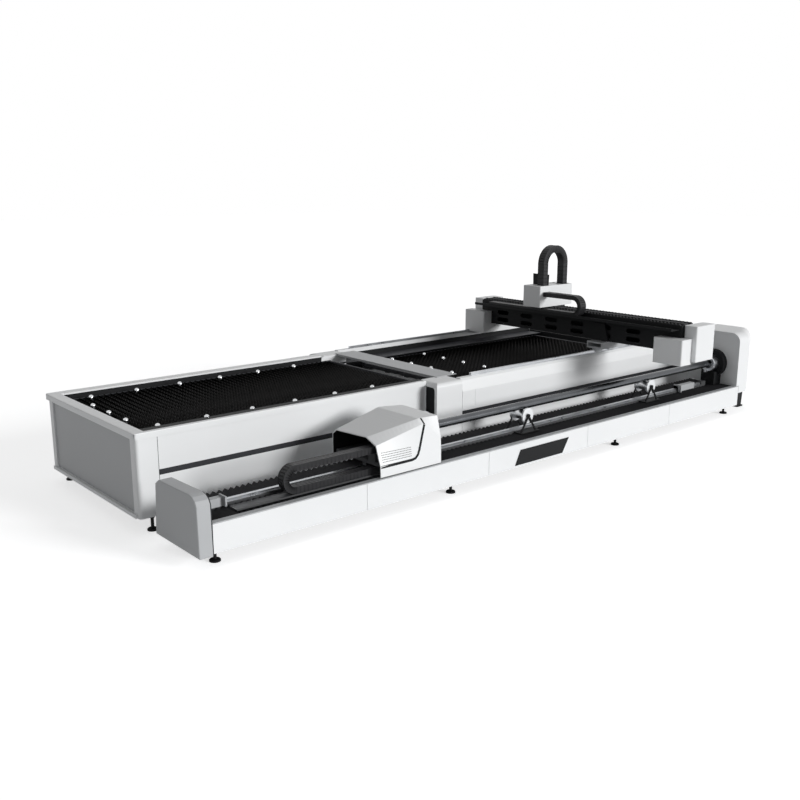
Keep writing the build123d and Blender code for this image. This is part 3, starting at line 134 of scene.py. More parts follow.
def make_materials():
    """Finishes of this machine, by the record's material slots."""
    return {
        # Powder coat on folded sheet: even white with a faint orange peel.
        "white_paint": surface("white_powder_coat", "#ECEDEE", "#E4E6E7", 900, 4, 0.03, 0.42,
                               ior=1.5),
        # Powder coat in light grey: a little flatter than the white.
        "grey_paint": surface("grey_powder_coat", "#B4B6B8", "#A9ABAD", 700, 4, 0.03, 0.48,
                              ior=1.5),
        # Fine texture powder coat: near black, and its grain scatters most of the gloss away. The
        # same black also paints the shade in the chuck cover, its vent slots, the entry posts'
        # recesses and the table wells.
        "black_paint": surface("black_texture_coat_and_shade", "#17181A", "#0F1011", 200, 2, 0.08, 0.6,
                               ior=1.25),
        # Matt machine paint on the pallet frames, dulled by dust from cutting.
        "dark_frame": surface("dark_machine_paint", "#35363A", "#232427", 160, 3, 0.05, 0.6,
                              ior=1.3),
        # Laser cut mild steel strip: scaled, heat stained and spattered.
        "slat_steel": surface("scaled_steel_strip", "#2A2929", "#161616", 60, 3, 0.12, 0.6,
                              spread=0.15, metallic=0.7),
        # Ground rail steel: bright, with fine lines along the rail.
        "bright_steel": surface("ground_steel", "#C9CBCE", "#AEB1B5", 120, 1.5, 0.02, 0.3,
                                metallic=1.0, stretch=(0.05, 1, 1)),
        # Polished bearing steel of the transfer balls.
        "ball_steel": surface("polished_bearing_steel", "#D9DADC", "#C6C8CA", 30, 2, 0.005, 0.16,
                              spread=0.04, metallic=1.0),
        # Iron casting in dark paint: low sheen over a sandy skin.
        "cast_grey": surface("painted_casting", "#3A3B3D", "#2E2F31", 150, 3, 0.12, 0.55, ior=1.5),
        # Coated cloth of the folded covers: black, dull, a little paler where a fold faces the light.
        "bellows_black": surface("black_coated_cloth", "#3E3E40", "#333335", 120, 1.2, 0.06, 0.62,
                                 ior=1.2),
        # Moulded polyamide of the energy chains: black with a soft sheen.
        "chain_plastic": surface("moulded_polyamide", "#2C2C2E", "#202022", 90, 2, 0.03, 0.45,
                                 spread=0.06, ior=1.3),
        # Clear anodised aluminium: pale, satin, faintly drawn.
        "aluminium": surface("anodised_aluminium", "#DCDEE0", "#CFD1D3", 100, 1.5, 0.02, 0.34,
                             metallic=1.0, stretch=(1, 1, 0.08)),
        # Turned brass nozzle.
        "brass_nozzle": surface("turned_brass", "#C79A5B", "#B58A4D", 40, 1, 0.01, 0.28,
                                spread=0.05, metallic=1.0),
        # Cold drawn tube: grey, with long fine draw lines.
        "tube_steel": surface("drawn_tube_steel", "#66686B", "#515356", 200, 1.5, 0.02, 0.22,
                              metallic=1.0, stretch=(0.02, 1, 1)),
    }


def keep_piece(name, mesh, finish, body):
    """Wrap a finished mesh as a piece that rides on a body."""
    data = bpy.data.meshes.new(name)
    mesh.to_mesh(data)
    mesh.free()
    piece = bpy.data.objects.new(name, data)
    bpy.context.scene.collection.objects.link(piece)
    data.materials.append(finish)
    if body:
        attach(piece, body)
    return piece


def add_block(mesh, low, high):
    """Box between two corners in drawing millimetres."""
    a, b = at(*low), at(*high)
    corners = [mesh.verts.new((x, y, z)) for x in (a.x, b.x) for y in (a.y, b.y)
               for z in (a.z, b.z)]
    for face in ((0, 1, 3, 2), (4, 6, 7, 5), (0, 4, 5, 1), (2, 3, 7, 6), (0, 2, 6, 4),
                 (1, 5, 7, 3)):
        mesh.faces.new([corners[i] for i in face])


def add_plate(mesh, outline, offset):
    """Closed plate: an outline of points, and the same outline moved by an offset."""
    front = [mesh.verts.new(p) for p in outline]
    back = [mesh.verts.new(p + offset) for p in outline]
    mesh.faces.new(front)
    mesh.faces.new(back[::-1])
    count = len(outline)
    for i in range(count):
        j = (i + 1) % count
        mesh.faces.new([front[i], back[i], back[j], front[j]])


def face_outwards(mesh):
    """Turn all faces of a mesh outwards."""
    bmesh.ops.recalc_face_normals(mesh, faces=mesh.faces)


# Support slats
SLAT_STEP = 60
SLAT_THICK = 4
TOOTH_STEP = 54
TOOTH_HEIGHT = 19


def support_slats(pallet, finishes):
    """Rows of toothed strips, cut from sheet and stood on edge."""
    low, high = drawing_box(pallet + "_slats")
    x0, x1 = low.x - SLAT_STEP / 2, high.x + SLAT_STEP / 2
    rows = int(round((x1 - x0) / SLAT_STEP))
    teeth = int((high.y - low.y) / TOOTH_STEP)
    step = (high.y - low.y) / teeth
    valley = high.z - TOOTH_HEIGHT
    mesh = bmesh.new()
    for row in range(rows + 1):
        x = x0 + row * (x1 - x0) / rows
        outline = [at(x, low.y, low.z)]
        for i in range(teeth):
            outline.append(at(x, low.y + i * step, valley))
            outline.append(at(x, low.y + (i + 0.5) * step, high.z))
        outline.append(at(x, high.y, valley))
        outline.append(at(x, high.y, low.z))
        add_plate(mesh, outline, Vector((SLAT_THICK * MM, 0, 0)))
    bmesh.ops.triangulate(mesh, faces=[f for f in mesh.faces if len(f.verts) > 4])
    face_outwards(mesh)
    piece = keep_piece(pallet + "_cut_slats", mesh, finishes["slat_steel"], pallet)
    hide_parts(pallet + "_slats")


# Ball transfer units on the pallets' lengthwise bars. A ball's lift is how far it stands out
# of the slats: the lower pallet passes close under the upper one. Cup sizes are shares of the
# ball's radius.
BALL_RADIUS = 24
BALL_LIFT = {"upper_pallet": 24, "lower_pallet": 9}
CUP_FOOT = 0.55
CUP_MOUTH = 0.9
CUP_DROP = 10
BARS = 5
BAR_THICK = 12
BAR_INSET = 110
ALL_BARS = range(BARS)
SIDE_BARS = (0, BARS - 1)
INNER_BARS = (1, 2, 3)

# Columns of ball units: x along the pallet, and the bars that carry them
UPPER_COLUMNS = [(75, INNER_BARS)] + [(200 + 455 * i, SIDE_BARS) for i in range(6)]
LOWER_COLUMNS = [(378, ALL_BARS), (888, ALL_BARS)]


def ball_units(pallet, columns, finishes):
    """Balls in cups, standing on the pallet's bars."""
    low, high = drawing_box(pallet + "_frame")
    middle = drawing_box(pallet + "_slats")[1].z + BALL_LIFT[pallet] - BALL_RADIUS
    foot, mouth = low.z + BAR_THICK, middle - CUP_DROP
    y0, y1 = low.y + BAR_INSET, high.y - BAR_INSET
    balls, cups = bmesh.new(), bmesh.new()
    for column, bars in columns:
        x = low.x + column
        for bar in bars:
            y = y0 + (y1 - y0) * bar / (BARS - 1)
            bmesh.ops.create_uvsphere(balls, u_segments=16, v_segments=10,
                                      radius=BALL_RADIUS * MM,
                                      matrix=Matrix.Translation(at(x, y, middle)))
            bmesh.ops.create_cone(cups, segments=16, cap_ends=True,
                                  radius1=BALL_RADIUS * CUP_FOOT * MM,
                                  radius2=BALL_RADIUS * CUP_MOUTH * MM,
                                  depth=(mouth - foot) * MM,
                                  matrix=Matrix.Translation(at(x, y, (foot + mouth) / 2)))
    for name, mesh, finish in (("balls", balls, "ball_steel"), ("cups", cups, "dark_frame")):
        piece = keep_piece(pallet + "_ball_unit_" + name, mesh, finishes[finish], pallet)
        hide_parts(pallet + "_balls")
        for face in piece.data.polygons:
            face.use_smooth = name == "balls"


# Energy chain links: shares of the link's length and height, then millimetres
LINK_LAP = 0.56
LINK_NOSE = 0.9
LINK_SHOULDER = 0.42
LID_REACH = 0.46
LINK_SIDE = 9
LID_INSET = 1
LID_THICK = 7
LINK_PITCH = 38
BEND_PITCH = 0.6
CHUCK_LINK = 56
BEAM_LINK = 52
HEAD_LINK = 76
HEAD_PITCH = 46
CHAIN_REACH = 50


def chain_link(mesh, middle, along, up, across, length, height, width):
    """One moulded link: two side plates that lap the next link, and two lids."""
    half = width / 2
    lap = length * LINK_LAP
    nose = lap * LINK_NOSE
    corners = ((-lap, LINK_SHOULDER), (-nose, 0.5), (nose, 0.5), (lap, LINK_SHOULDER),
               (lap, -LINK_SHOULDER), (nose, -0.5), (-nose, -0.5), (-lap, -LINK_SHOULDER))
    for sign in (-1, 1):
        ring = [middle + (along * s + up * (u * height) + across * (sign * half)) * MM
                for s, u in corners]
        add_plate(mesh, ring, across * (-sign * LINK_SIDE * MM))
    reach = length * LID_REACH
    for sign in (-1, 1):
        outer = sign * (height / 2 - LID_INSET)
        inner = outer - sign * LID_THICK
        lid = [middle + (along * s + up * u + across * (half - LINK_SIDE)) * MM
               for s, u in ((-reach, outer), (reach, outer), (reach, inner), (-reach, inner))]
        add_plate(mesh, lid, across * (-(width - 2 * LINK_SIDE) * MM))


def chain_run(name, start, end, up, across, size, finishes):
    """Straight row of links from start to end."""
    pitch, height, width = size
    mesh = bmesh.new()
    length = (end - start).length / MM
    count = max(1, int(round(length / pitch)))
    along = (end - start).normalized()
    step = length / count
    for i in range(count):
        middle = start + along * ((i + 0.5) * step * MM)
        chain_link(mesh, middle, along, up, across, step, height, width)
    face_outwards(mesh)
    return keep_piece(name, mesh, finishes["chain_plastic"], None)


def chain_bend(name, centre, radius, first, second, size, finishes):
    """Half circle of links, from direction first round through second."""
    pitch, height, width = size
    mesh = bmesh.new()
    count = int(round(pi * radius / (pitch * BEND_PITCH)))
    step = pi * radius / count
    across = first.cross(second)
    for i in range(count):
        angle = pi * (i + 0.5) / count
        out = first * cos(angle) + second * sin(angle)
        along = second * cos(angle) - first * sin(angle)
        chain_link(mesh, centre + out * (radius * MM), along, out, across,
                   step * (1 + height / 4 / radius), height, width)
    face_outwards(mesh)
    return keep_piece(name, mesh, finishes["chain_plastic"], None)


def chuck_chain(finishes):
    """Chain that lies beside the rail, its upper run reaching to the moving chuck's saddle."""
    low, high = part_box("chuck_chain")
    size = (LINK_PITCH, CHUCK_LINK, (high.y - low.y) / MM)
    y = (low.y + high.y) / 2
    z0, z1 = low.z + CHUCK_LINK / 2 * MM, high.z - CHUCK_LINK / 2 * MM
    turn_x = low.x + (high.z - low.z) / 2
    end_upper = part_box("chuck_saddle")[0].x + CHAIN_REACH * MM
    up, across = Vector((0, 0, 1)), Vector((0, 1, 0))
    lower = chain_run("chuck_chain_lower", Vector((turn_x, y, z0)), Vector((high.x, y, z0)), up,
                      across, size, finishes)
    upper = chain_run("chuck_chain_upper", Vector((turn_x, y, z1)), Vector((end_upper, y, z1)),
                      up, across, size, finishes)
    bend = chain_bend("chuck_chain_bend", Vector((turn_x, y, (z0 + z1) / 2)), (z1 - z0) / 2 / MM,
                      Vector((0, 0, -1)), Vector((-1, 0, 0)), size, finishes)
    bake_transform(upper)
    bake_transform(lower)
    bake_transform(bend)
    for piece in (bend, upper, lower):
        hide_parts("chuck_chain")


def beam_chain(finishes):
    """Chain in the tray along the beam, turning over to the carriage."""
    low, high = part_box("beam_chain")
    size = (LINK_PITCH, BEAM_LINK, (high.x - low.x) / MM)
    x = (low.x + high.x) / 2
    z0, z1 = low.z + BEAM_LINK / 2 * MM, high.z - BEAM_LINK / 2 * MM
    turn_y = low.y + (high.z - low.z) / 2
    end_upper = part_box("carriage_cover")[0].y
    up, across = Vector((0, 0, 1)), Vector((1, 0, 0))
    lower = chain_run("beam_chain_lower", Vector((x, turn_y, z0)), Vector((x, high.y, z0)), up,
                      across, size, finishes)
    upper = chain_run("beam_chain_upper", Vector((x, turn_y, z1)), Vector((x, end_upper, z1)),
                      up, across, size, finishes)
    bend = chain_bend("beam_chain_bend", Vector((x, turn_y, (z0 + z1) / 2)), (z1 - z0) / 2 / MM,
                      Vector((0, 0, -1)), Vector((0, -1, 0)), size, finishes)
    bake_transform(upper)
    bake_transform(lower)
    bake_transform(bend)
    for piece in (bend, upper, lower):
        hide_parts("beam_chain")


def head_chain(finishes):
    """Chain that stands in a loop above the carriage."""
    low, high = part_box("head_chain")
    size = (HEAD_PITCH, HEAD_LINK, (high.y - low.y) / MM)
    y = (low.y + high.y) / 2
    x0, x1 = low.x + HEAD_LINK / 2 * MM, high.x - HEAD_LINK / 2 * MM
    turn_z = high.z - (high.x - low.x) / 2 - MM
    foot_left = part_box("carriage_cover")[1].z
    foot_right = low.z
    up, across = Vector((1, 0, 0)), Vector((0, 1, 0))
    left = chain_run("head_chain_fixed_leg", Vector((x0, y, foot_left)), Vector((x0, y, turn_z)),
                     up, across, size, finishes)
    right = chain_run("head_chain_moving_leg", Vector((x1, y, foot_right)),
                      Vector((x1, y, turn_z)), up, across, size, finishes)
    bend = chain_bend("head_chain_bend", Vector(((x0 + x1) / 2, y, turn_z)), (x1 - x0) / 2 / MM,
                      Vector((-1, 0, 0)), Vector((0, 0, 1)), size, finishes)
    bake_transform(left)
    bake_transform(right)
    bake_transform(bend)
    for piece in (bend, left, right):
        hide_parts("head_chain")


# Chuck cover, in drawing millimetres: open nose, ridge, stripe and closed end
NOSE_X = 1735
RIDGE_X = 2200
STRIPE_X = 2236
COVER_END = 2425
COVER_RIM = 8
COVER_AXIS = (312, 603)
COVER_HOLE = 122
COVER_FOOT = 354
CREASE_Z = 450
NOTCH_TOP = 436
NOTCH_NEAR = 40
NOTCH_FAR = 660

# Nearer than the middle the inset skin (the rim, and the black lining that paints the shade inside
# the cover) moves away from the viewer, and above the waist it moves down
COVER_MIDDLE = 350
COVER_WAIST = 500

NOSE_STEPS = 12
NEAR_STEPS = 6
END_STEPS = 6
HOLE_STEPS = 32

# Corners (y, z) of the cover, from its near foot over the top to its far foot
NEAR_FOOT = [(10, COVER_FOOT), (12, CREASE_Z)]
FAR_FOOT = [(690, 672), (690, COVER_FOOT)]
FULL_RING = NEAR_FOOT + [(26, 736), (72, 782), (620, 782)] + FAR_FOOT
COVER_RINGS = {
    NOSE_X: NEAR_FOOT + [(73, 621), (200, 672), (636, 650), (690, 610), (690, COVER_FOOT)],
    RIDGE_X: FULL_RING,
    STRIPE_X: FULL_RING,
    COVER_END: NEAR_FOOT + [(17, 592), (66, 776), (545, 782)] + FAR_FOOT}

# Vent slots in the cover's near wall, drawn as black plates of painted shade
VENT_ROWS = 5
VENT_COUNT = 20
VENT_X = 1767
VENT_Z = 479
VENT_STEP = 16
VENT_PITCH = 19
VENT_SLOT = 10
VENT_HEIGHT = 5


def blend_points(a, b, t):
    """Points part of the way from one list of points to another."""
    return [(p[0] + (q[0] - p[0]) * t, p[1] + (q[1] - p[1]) * t) for p, q in zip(a, b)]


def cover_ring(x):
    """Seven corners of the cover's outline at x."""
    stops = sorted(COVER_RINGS)
    for a, b in zip(stops, stops[1:]):
        if x <= b:
            return blend_points(COVER_RINGS[a], COVER_RINGS[b], (x - a) / (b - a))
    return COVER_RINGS[COVER_END]


def near_face(x, z):
    """Depth of the cover's near wall at a place along it."""
    low, high = cover_ring(x)[1:3]
    share = max(0, (z - low[1]) / (high[1] - low[1]))
    return low[0] + (high[0] - low[0]) * share


def cover_skin(mesh, places, inset):
    """Loft of the cover's outline through places along x, moved inwards by inset."""
    rings = []
    for x in places:
        corners = cover_ring(x)
        steps = [blend_points(corners[1:2], corners[2:3], i / NEAR_STEPS)[0]
                 for i in range(NEAR_STEPS)]
        outline = corners[:1] + steps + corners[2:]
        rings.append([mesh.verts.new(at(x, y + inset if y < COVER_MIDDLE else y - inset,
                                        z - inset if z > COVER_WAIST else z))
                      for y, z in outline])
    for a, b in zip(rings, rings[1:]):
        for i in range(len(a) - 1):
            mesh.faces.new([a[i], a[i + 1], b[i + 1], b[i]])
    return rings


def end_wall(mesh, ring, x, inset):
    """Flat end with a round hole for the spindle and a notch for the chain."""
    near, far = NOTCH_NEAR + inset, NOTCH_FAR - inset
    foot = [mesh.verts.new(at(x, y, z)) for y, z in
            ((far, COVER_FOOT), (far, NOTCH_TOP), (near, NOTCH_TOP), (near, COVER_FOOT))]
    hole = []
    for i in range(HOLE_STEPS):
        angle = 2 * pi * i / HOLE_STEPS
        hole.append(mesh.verts.new(at(x, COVER_AXIS[0] + COVER_HOLE * cos(angle),
                                      COVER_AXIS[1] + COVER_HOLE * sin(angle))))
    edges = []
    for loop in (ring + foot, hole):
        for a, b in zip(loop, loop[1:] + loop[:1]):
            edges.append(mesh.edges.get((a, b)) or mesh.edges.new((a, b)))
    bmesh.ops.triangle_fill(mesh, edges=edges, use_beauty=True)


def cover_vent_shades(finishes):
    """Rows of black plates on the cover's near wall: painted shade of the vent slots."""
    mesh = bmesh.new()
    for row in range(VENT_ROWS):
        z = VENT_Z + row * VENT_PITCH
        for i in range(VENT_COUNT):
            x = VENT_X + i * VENT_STEP
            ends = ((x, z), (x + VENT_SLOT, z), (x + VENT_SLOT, z + VENT_HEIGHT),
                    (x, z + VENT_HEIGHT))
            # Each slot is a thin black plate laid on the wall: painted shade, not an opening.
            add_plate(mesh, [at(u, near_face(u, w) - 1, w) for u, w in ends],
                      Vector((0, MM, 0)))
    face_outwards(mesh)
    keep_piece("chuck_cover_vent_shades", mesh, finishes["black_paint"], "chuck")


def chuck_cover(finishes):
    """Moulded cover of the moving chuck: leaning nose, folded rim, and a black lining of painted
    shade inside.
    """
    stops = [NOSE_X + (RIDGE_X - NOSE_X) * i / NOSE_STEPS for i in range(NOSE_STEPS + 1)]
    stops += [STRIPE_X + (COVER_END - STRIPE_X) * i / END_STEPS for i in range(END_STEPS + 1)]
    mesh = bmesh.new()
    rings = cover_skin(mesh, stops, 0)
    end_wall(mesh, rings[-1], COVER_END, 0)
    rim = cover_skin(mesh, [NOSE_X], COVER_RIM)[0]
    for i in range(len(rim) - 1):
        mesh.faces.new([rings[0][i + 1], rings[0][i], rim[i], rim[i + 1]])
    face_outwards(mesh)
    shell = keep_piece("chuck_cover_shell", mesh, finishes["white_paint"], "chuck")
    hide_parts("chuck_cover")
    # Inner skin in black: painted shade inside the cover.
    mesh = bmesh.new()
    rings = cover_skin(mesh, stops[:-1] + [COVER_END - COVER_RIM], COVER_RIM)
    end_wall(mesh, rings[-1], COVER_END - COVER_RIM, COVER_RIM)
    face_outwards(mesh)
    keep_piece("chuck_cover_shade_lining", mesh, finishes["black_paint"], "chuck")


# Stripe on the cover's near wall, as (x, z), and its fold over the top edge
STRIPE_PATH = [(1741, 444), (2085, 444), (2125, 452), (2155, 480), (2172, 520), (2190, 580),
               (2222, 690), (2236, 733)]
STRIPE_TOP = ((2228, 25, 735), (2244, 25, 735), (2240, 71, 781), (2224, 71, 781))
STRIPE_HALF = 12
STRIPE_PROUD = 1.2
STRIPE_TOP_PROUD = 0.6
STRIPE_TOP_THICK = 0.8


def cover_stripe(finishes):
    """Dark stripe that runs along the chuck cover and sweeps up to its top."""
    left, right = [], []
    for i, (x, z) in enumerate(STRIPE_PATH):
        before = STRIPE_PATH[max(i - 1, 0)]
        after = STRIPE_PATH[min(i + 1, len(STRIPE_PATH) - 1)]
        dx, dz = after[0] - before[0], after[1] - before[1]
        length = hypot(dx, dz)
        nx, nz = -dz / length * STRIPE_HALF, dx / length * STRIPE_HALF
        left.append((x + nx, z + nz))
        right.append((x - nx, z - nz))
    outline = [at(x, near_face(x, z) - STRIPE_PROUD, z) for x, z in left + right[::-1]]
    mesh = bmesh.new()
    add_plate(mesh, outline, Vector((0, STRIPE_PROUD * MM, 0)))
    lift = Vector((0, -STRIPE_TOP_PROUD * MM, STRIPE_TOP_PROUD * MM))
    add_plate(mesh, [at(*p) + lift for p in STRIPE_TOP],
              Vector((0, STRIPE_TOP_THICK * MM, -STRIPE_TOP_THICK * MM)))
    bmesh.ops.triangulate(mesh, faces=[f for f in mesh.faces if len(f.verts) > 4])
    face_outwards(mesh)
    keep_piece("chuck_cover_stripe", mesh, finishes["black_paint"], "chuck")


# Roller stands, with the height of the deck's ribs and the sides of the rail seat
STAND_SPREAD = 105
STAND_BAR = 17
STAND_THICK = 12
STAND_GAP = 2
SOLE_THICK = 8
SOLE_OVER_Y = 40
SOLE_OVER_X = 30
AXLE_RADIUS = 11
AXLE_OVER = 10
HUB_RADIUS = 20
RIB_TOP = 350
SEAT_NEAR = 283
SEAT_FAR = 396


def stand_bar(mesh, a, b, y0):
    """Flat bar of a stand between two points (x, z) of a side view."""
    length = hypot(b[0] - a[0], b[1] - a[1])
    nx = -(b[1] - a[1]) / length * STAND_BAR / 2
    nz = (b[0] - a[0]) / length * STAND_BAR / 2
    outline = [at(a[0] + nx, y0, a[1] + nz), at(a[0] - nx, y0, a[1] - nz),
               at(b[0] - nx, y0, b[1] - nz), at(b[0] + nx, y0, b[1] + nz)]
    add_plate(mesh, outline, Vector((0, STAND_THICK * MM, 0)))


def round_bar(mesh, x, y, z, radius, length):
    """Round bar across the machine, about a middle point."""
    turn = Matrix.Translation(at(x, y, z)) @ Matrix.Rotation(pi / 2, 4, "X")
    bmesh.ops.create_cone(mesh, segments=24, cap_ends=True, radius1=radius * MM,
                          radius2=radius * MM, depth=length * MM, matrix=turn)


def roller_stands(finishes):
    """Black stands: two pairs of splayed bars on sole plates, with an axle between."""
    mesh = bmesh.new()
    for roller in ("roller_1", "roller_2"):
        low, high = drawing_box(roller)
        x, z = (low.x + high.x) / 2, (low.z + high.z) / 2
        near, far = low.y - STAND_GAP - STAND_THICK, high.y + STAND_GAP
        for y, sole in ((near, (low.y - SOLE_OVER_Y, SEAT_NEAR)),
                        (far, (SEAT_FAR, high.y + SOLE_OVER_Y))):
            for side in (-1, 1):
                stand_bar(mesh, (x + side * STAND_SPREAD, RIB_TOP + SOLE_THICK - 1), (x, z), y)
            add_block(mesh, (x - STAND_SPREAD - SOLE_OVER_X, sole[0], RIB_TOP),
                      (x + STAND_SPREAD + SOLE_OVER_X, sole[1], RIB_TOP + SOLE_THICK))
        round_bar(mesh, x, (low.y + high.y) / 2, z, AXLE_RADIUS,
                  high.y - low.y + 2 * (STAND_THICK + AXLE_OVER))
        for y in (near, far):
            round_bar(mesh, x, y + STAND_THICK / 2, z, HUB_RADIUS, STAND_THICK + 2)
    face_outwards(mesh)
    piece = keep_piece("stand_frames", mesh, finishes["black_paint"], "base")
    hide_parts("roller_stands")


# Dark bands that fill the grooves of the long walls
GROOVE_Z0 = 474
GROOVE_Z1 = 521
BAND_PROUD = 0.6
BAND_SINK = 1.4


def groove_bands(finishes):
    """Dark bands in the grooves. The bed's far wall is the outermost face: its band is flush."""
    mesh = bmesh.new()
    for wall, far_proud in (("table_side_walls", BAND_PROUD), ("bed_side_walls", 0)):
        low, high = drawing_box(wall)
        for y0, y1 in ((low.y - BAND_PROUD, low.y + BAND_SINK),
                       (high.y - BAND_SINK, high.y + far_proud)):
            add_block(mesh, (low.x + 1, y0, GROOVE_Z0), (high.x - 1, y1, GROOVE_Z1))
    face_outwards(mesh)
    keep_piece("groove_bands", mesh, finishes["dark_frame"], "base")


# Ends of the guide rail: start, end and cross plate of each bracket
BRACKETS = ((134, 396, 382), (6500, 6840, 6500))
BRACKET_TOP = 418
BRACKET_PLATE_TOP = 432
BRACKET_PLATE = 14
BRACKET_NEAR = 281
BRACKET_PLATE_NEAR = 240
BRACKET_FAR = 343


def rail_brackets(finishes):
    """Long blocks at both ends of the rail, each with an upright plate."""
    mesh = bmesh.new()
    for x0, x1, plate in BRACKETS:
        add_block(mesh, (x0, BRACKET_NEAR, RIB_TOP - 2), (x1, BRACKET_FAR, BRACKET_TOP))
        add_block(mesh, (plate, BRACKET_PLATE_NEAR, RIB_TOP - 2),
                  (plate + BRACKET_PLATE, BRACKET_FAR, BRACKET_PLATE_TOP))
    face_outwards(mesh)
    keep_piece("rail_brackets", mesh, finishes["grey_paint"], "base")


# Black plate of painted shade on the end of each entry post, where the post's recess lies, as
# (distance from the wall's face, z)
RECESS_SHADE = ((34, 160), (158, 160), (158, 800), (60, 800), (42, 792), (34, 774))
RECESS_SHADE_PROUD = 0.8


def entry_recess_shades(finishes):
    """Black plates of painted shade over the entry posts' recesses, beside the table's walls."""
    mesh = bmesh.new()
    low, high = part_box("bed_side_walls")
    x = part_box("table_side_walls")[1].x - RECESS_SHADE_PROUD * MM
    for face, inward in ((low.y, 1), (high.y, -1)):
        outline = [Vector((x, face + inward * y * MM, z * MM)) for y, z in RECESS_SHADE]
        # A thin black plate laid on the post: painted shade of the recess, not a cut.
        add_plate(mesh, outline, Vector((RECESS_SHADE_PROUD * MM, 0, 0)))
    face_outwards(mesh)
    keep_piece("entry_recess_shades", mesh, finishes["black_paint"], "base")


# Gusset between the near saddle and the beam, as (y, z)
GUSSET = ((712, 986), (940, 986), (900, 1190), (773, 1190))
GUSSET_X = 5675
GUSSET_THICK = 24


def gusset_skin(finishes):
    """Dark gusset that stands on the near saddle before the beam."""
    mesh = bmesh.new()
    add_plate(mesh, [at(GUSSET_X, y, z) for y, z in GUSSET], Vector((GUSSET_THICK * MM, 0, 0)))
    face_outwards(mesh)
    keep_piece("gusset_skin", mesh, finishes["black_paint"], "gantry")


# Back sheet of the tube unit: its far face, a depth that holds it, its top and the cut
TUBE_BACK = 646
BACK_DEPTH = 8
LIP_TOP = 346
BACK_CUT = 24


def low_back_frame(finishes):
    """Frame of the tube unit with its back sheet cut down, so that the ribs stand clear."""
    node = nodes["tube_bed_frame"]
    mesh = bmesh.new()
    mesh.from_mesh(node.data)
    mesh.transform(node.matrix_world)
    edge = at(0, TUBE_BACK - BACK_DEPTH, LIP_TOP - 1)
    for vert in mesh.verts:
        if edge.z < vert.co.z < edge.z + 2 * MM and vert.co.y > edge.y:
            vert.co.z -= BACK_CUT * MM
    face_outwards(mesh)
    slot = next(part["material_slot"] for part in frame["record"]["subparts"]
                if part["node"] == "tube_bed_frame")
    piece = keep_piece("tube_frame_low_back", mesh, finishes[slot], "base")
    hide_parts("tube_bed_frame")


# Inside of each table in the drawing: x0, x1, near and far walls, and the tops of the painted shade
# on them
TABLE_WELL = (86, 3066, 1048, 2706, 854, 839)
BED_WELL = (3421, 6749, 868, 2868, 845, 806)
WELL_FOOT = 560
SHADE_THICK = 0.8
SHADE_SINK = 0.4
SHADE_END = 0.2
SHADE_SIDE = 1
TABLE_END = 84.5
TABLE_END_TOP = 845
RIM_TOP = 855
RIM_SHADE = 78
BED_END = 6850
END_WALL_TOP = 762


def well_shade_sheets(finishes):
    """Black sheets of painted shade inside both tables, on the near rim's inner half and on the end
    wall.
    """
    mesh = bmesh.new()
    # Painted shade: black sheets on the inner faces of both walls of each well.
    for x0, x1, near, far, near_top, far_top in (TABLE_WELL, BED_WELL):
        add_block(mesh, (x0, far - SHADE_THICK, WELL_FOOT), (x1, far + SHADE_SINK, far_top))
        add_block(mesh, (x0, near - SHADE_SINK, WELL_FOOT), (x1, near + SHADE_THICK, near_top))
    x0, x1, near, far = TABLE_WELL[:4]
    add_block(mesh, (TABLE_END, near + SHADE_SIDE, WELL_FOOT),
              (x0 - SHADE_END, far - SHADE_SIDE, TABLE_END_TOP))
    # Painted shade on the inner half of the near rim's top.
    add_block(mesh, (x0, near - RIM_SHADE, RIM_TOP), (x1, near + SHADE_THICK, RIM_TOP + SHADE_THICK))
    x0, x1, near, far = BED_WELL[:4]
    add_block(mesh, (x1 + SHADE_END, near + SHADE_SIDE, WELL_FOOT),
              (BED_END + SHADE_THICK, far - SHADE_SIDE, END_WALL_TOP + SHADE_THICK))
    face_outwards(mesh)
    keep_piece("well_shade_sheets", mesh, finishes["black_paint"], "base")


# Seam between the near corner post and the table's wall
SEAM_X = (187, 191)
SEAM_Z = (134, 800)
SEAM_PROUD = 0.6
SEAM_SINK = 1
TABLE_FACE = 948


def post_seam(finishes):
    """Dark line beside the near corner post."""
    mesh = bmesh.new()
    add_block(mesh, (SEAM_X[0], TABLE_FACE - SEAM_PROUD, SEAM_Z[0]),
              (SEAM_X[1], TABLE_FACE + SEAM_SINK, SEAM_Z[1]))
    face_outwards(mesh)
    keep_piece("post_seam", mesh, finishes["dark_frame"], "base")


# Lip under the table's end wall, and the bed's near wall beyond its end
END_LIP = ((-18, 990, 134), (14, 2764, 165))
WALL_END_X = 7460
WALL_END_FACE = 768
WALL_END_THICK = 40
WALL_END_FOOT = 142
WALL_END_TOP = 600
CLOSING_SHEET = 6
CLOSING_NEAR = 694


def wall_ends(finishes):
    """Lip at the table's foot and the tail of the bed's near wall, with its band."""
    mesh = bmesh.new()
    add_block(mesh, *END_LIP)
    outline = [at(x, WALL_END_FACE, z) for x, z in
               ((BED_END, WALL_END_FOOT), (WALL_END_X, WALL_END_FOOT),
                (WALL_END_X, WALL_END_TOP), (BED_END, END_WALL_TOP - 2))]
    add_plate(mesh, outline, Vector((0, WALL_END_THICK * MM, 0)))
    add_block(mesh, (WALL_END_X - CLOSING_SHEET, CLOSING_NEAR, WALL_END_FOOT),
              (WALL_END_X, WALL_END_FACE + 1, WALL_END_TOP))
    face_outwards(mesh)
    keep_piece("wall_ends", mesh, finishes["white_paint"], "base")
    mesh = bmesh.new()
    add_block(mesh, (BED_END - 1, WALL_END_FACE - BAND_PROUD, GROOVE_Z0),
              (WALL_END_X - 1, WALL_END_FACE + BAND_SINK, GROOVE_Z1))
    face_outwards(mesh)
    keep_piece("wall_end_band", mesh, finishes["dark_frame"], "base")


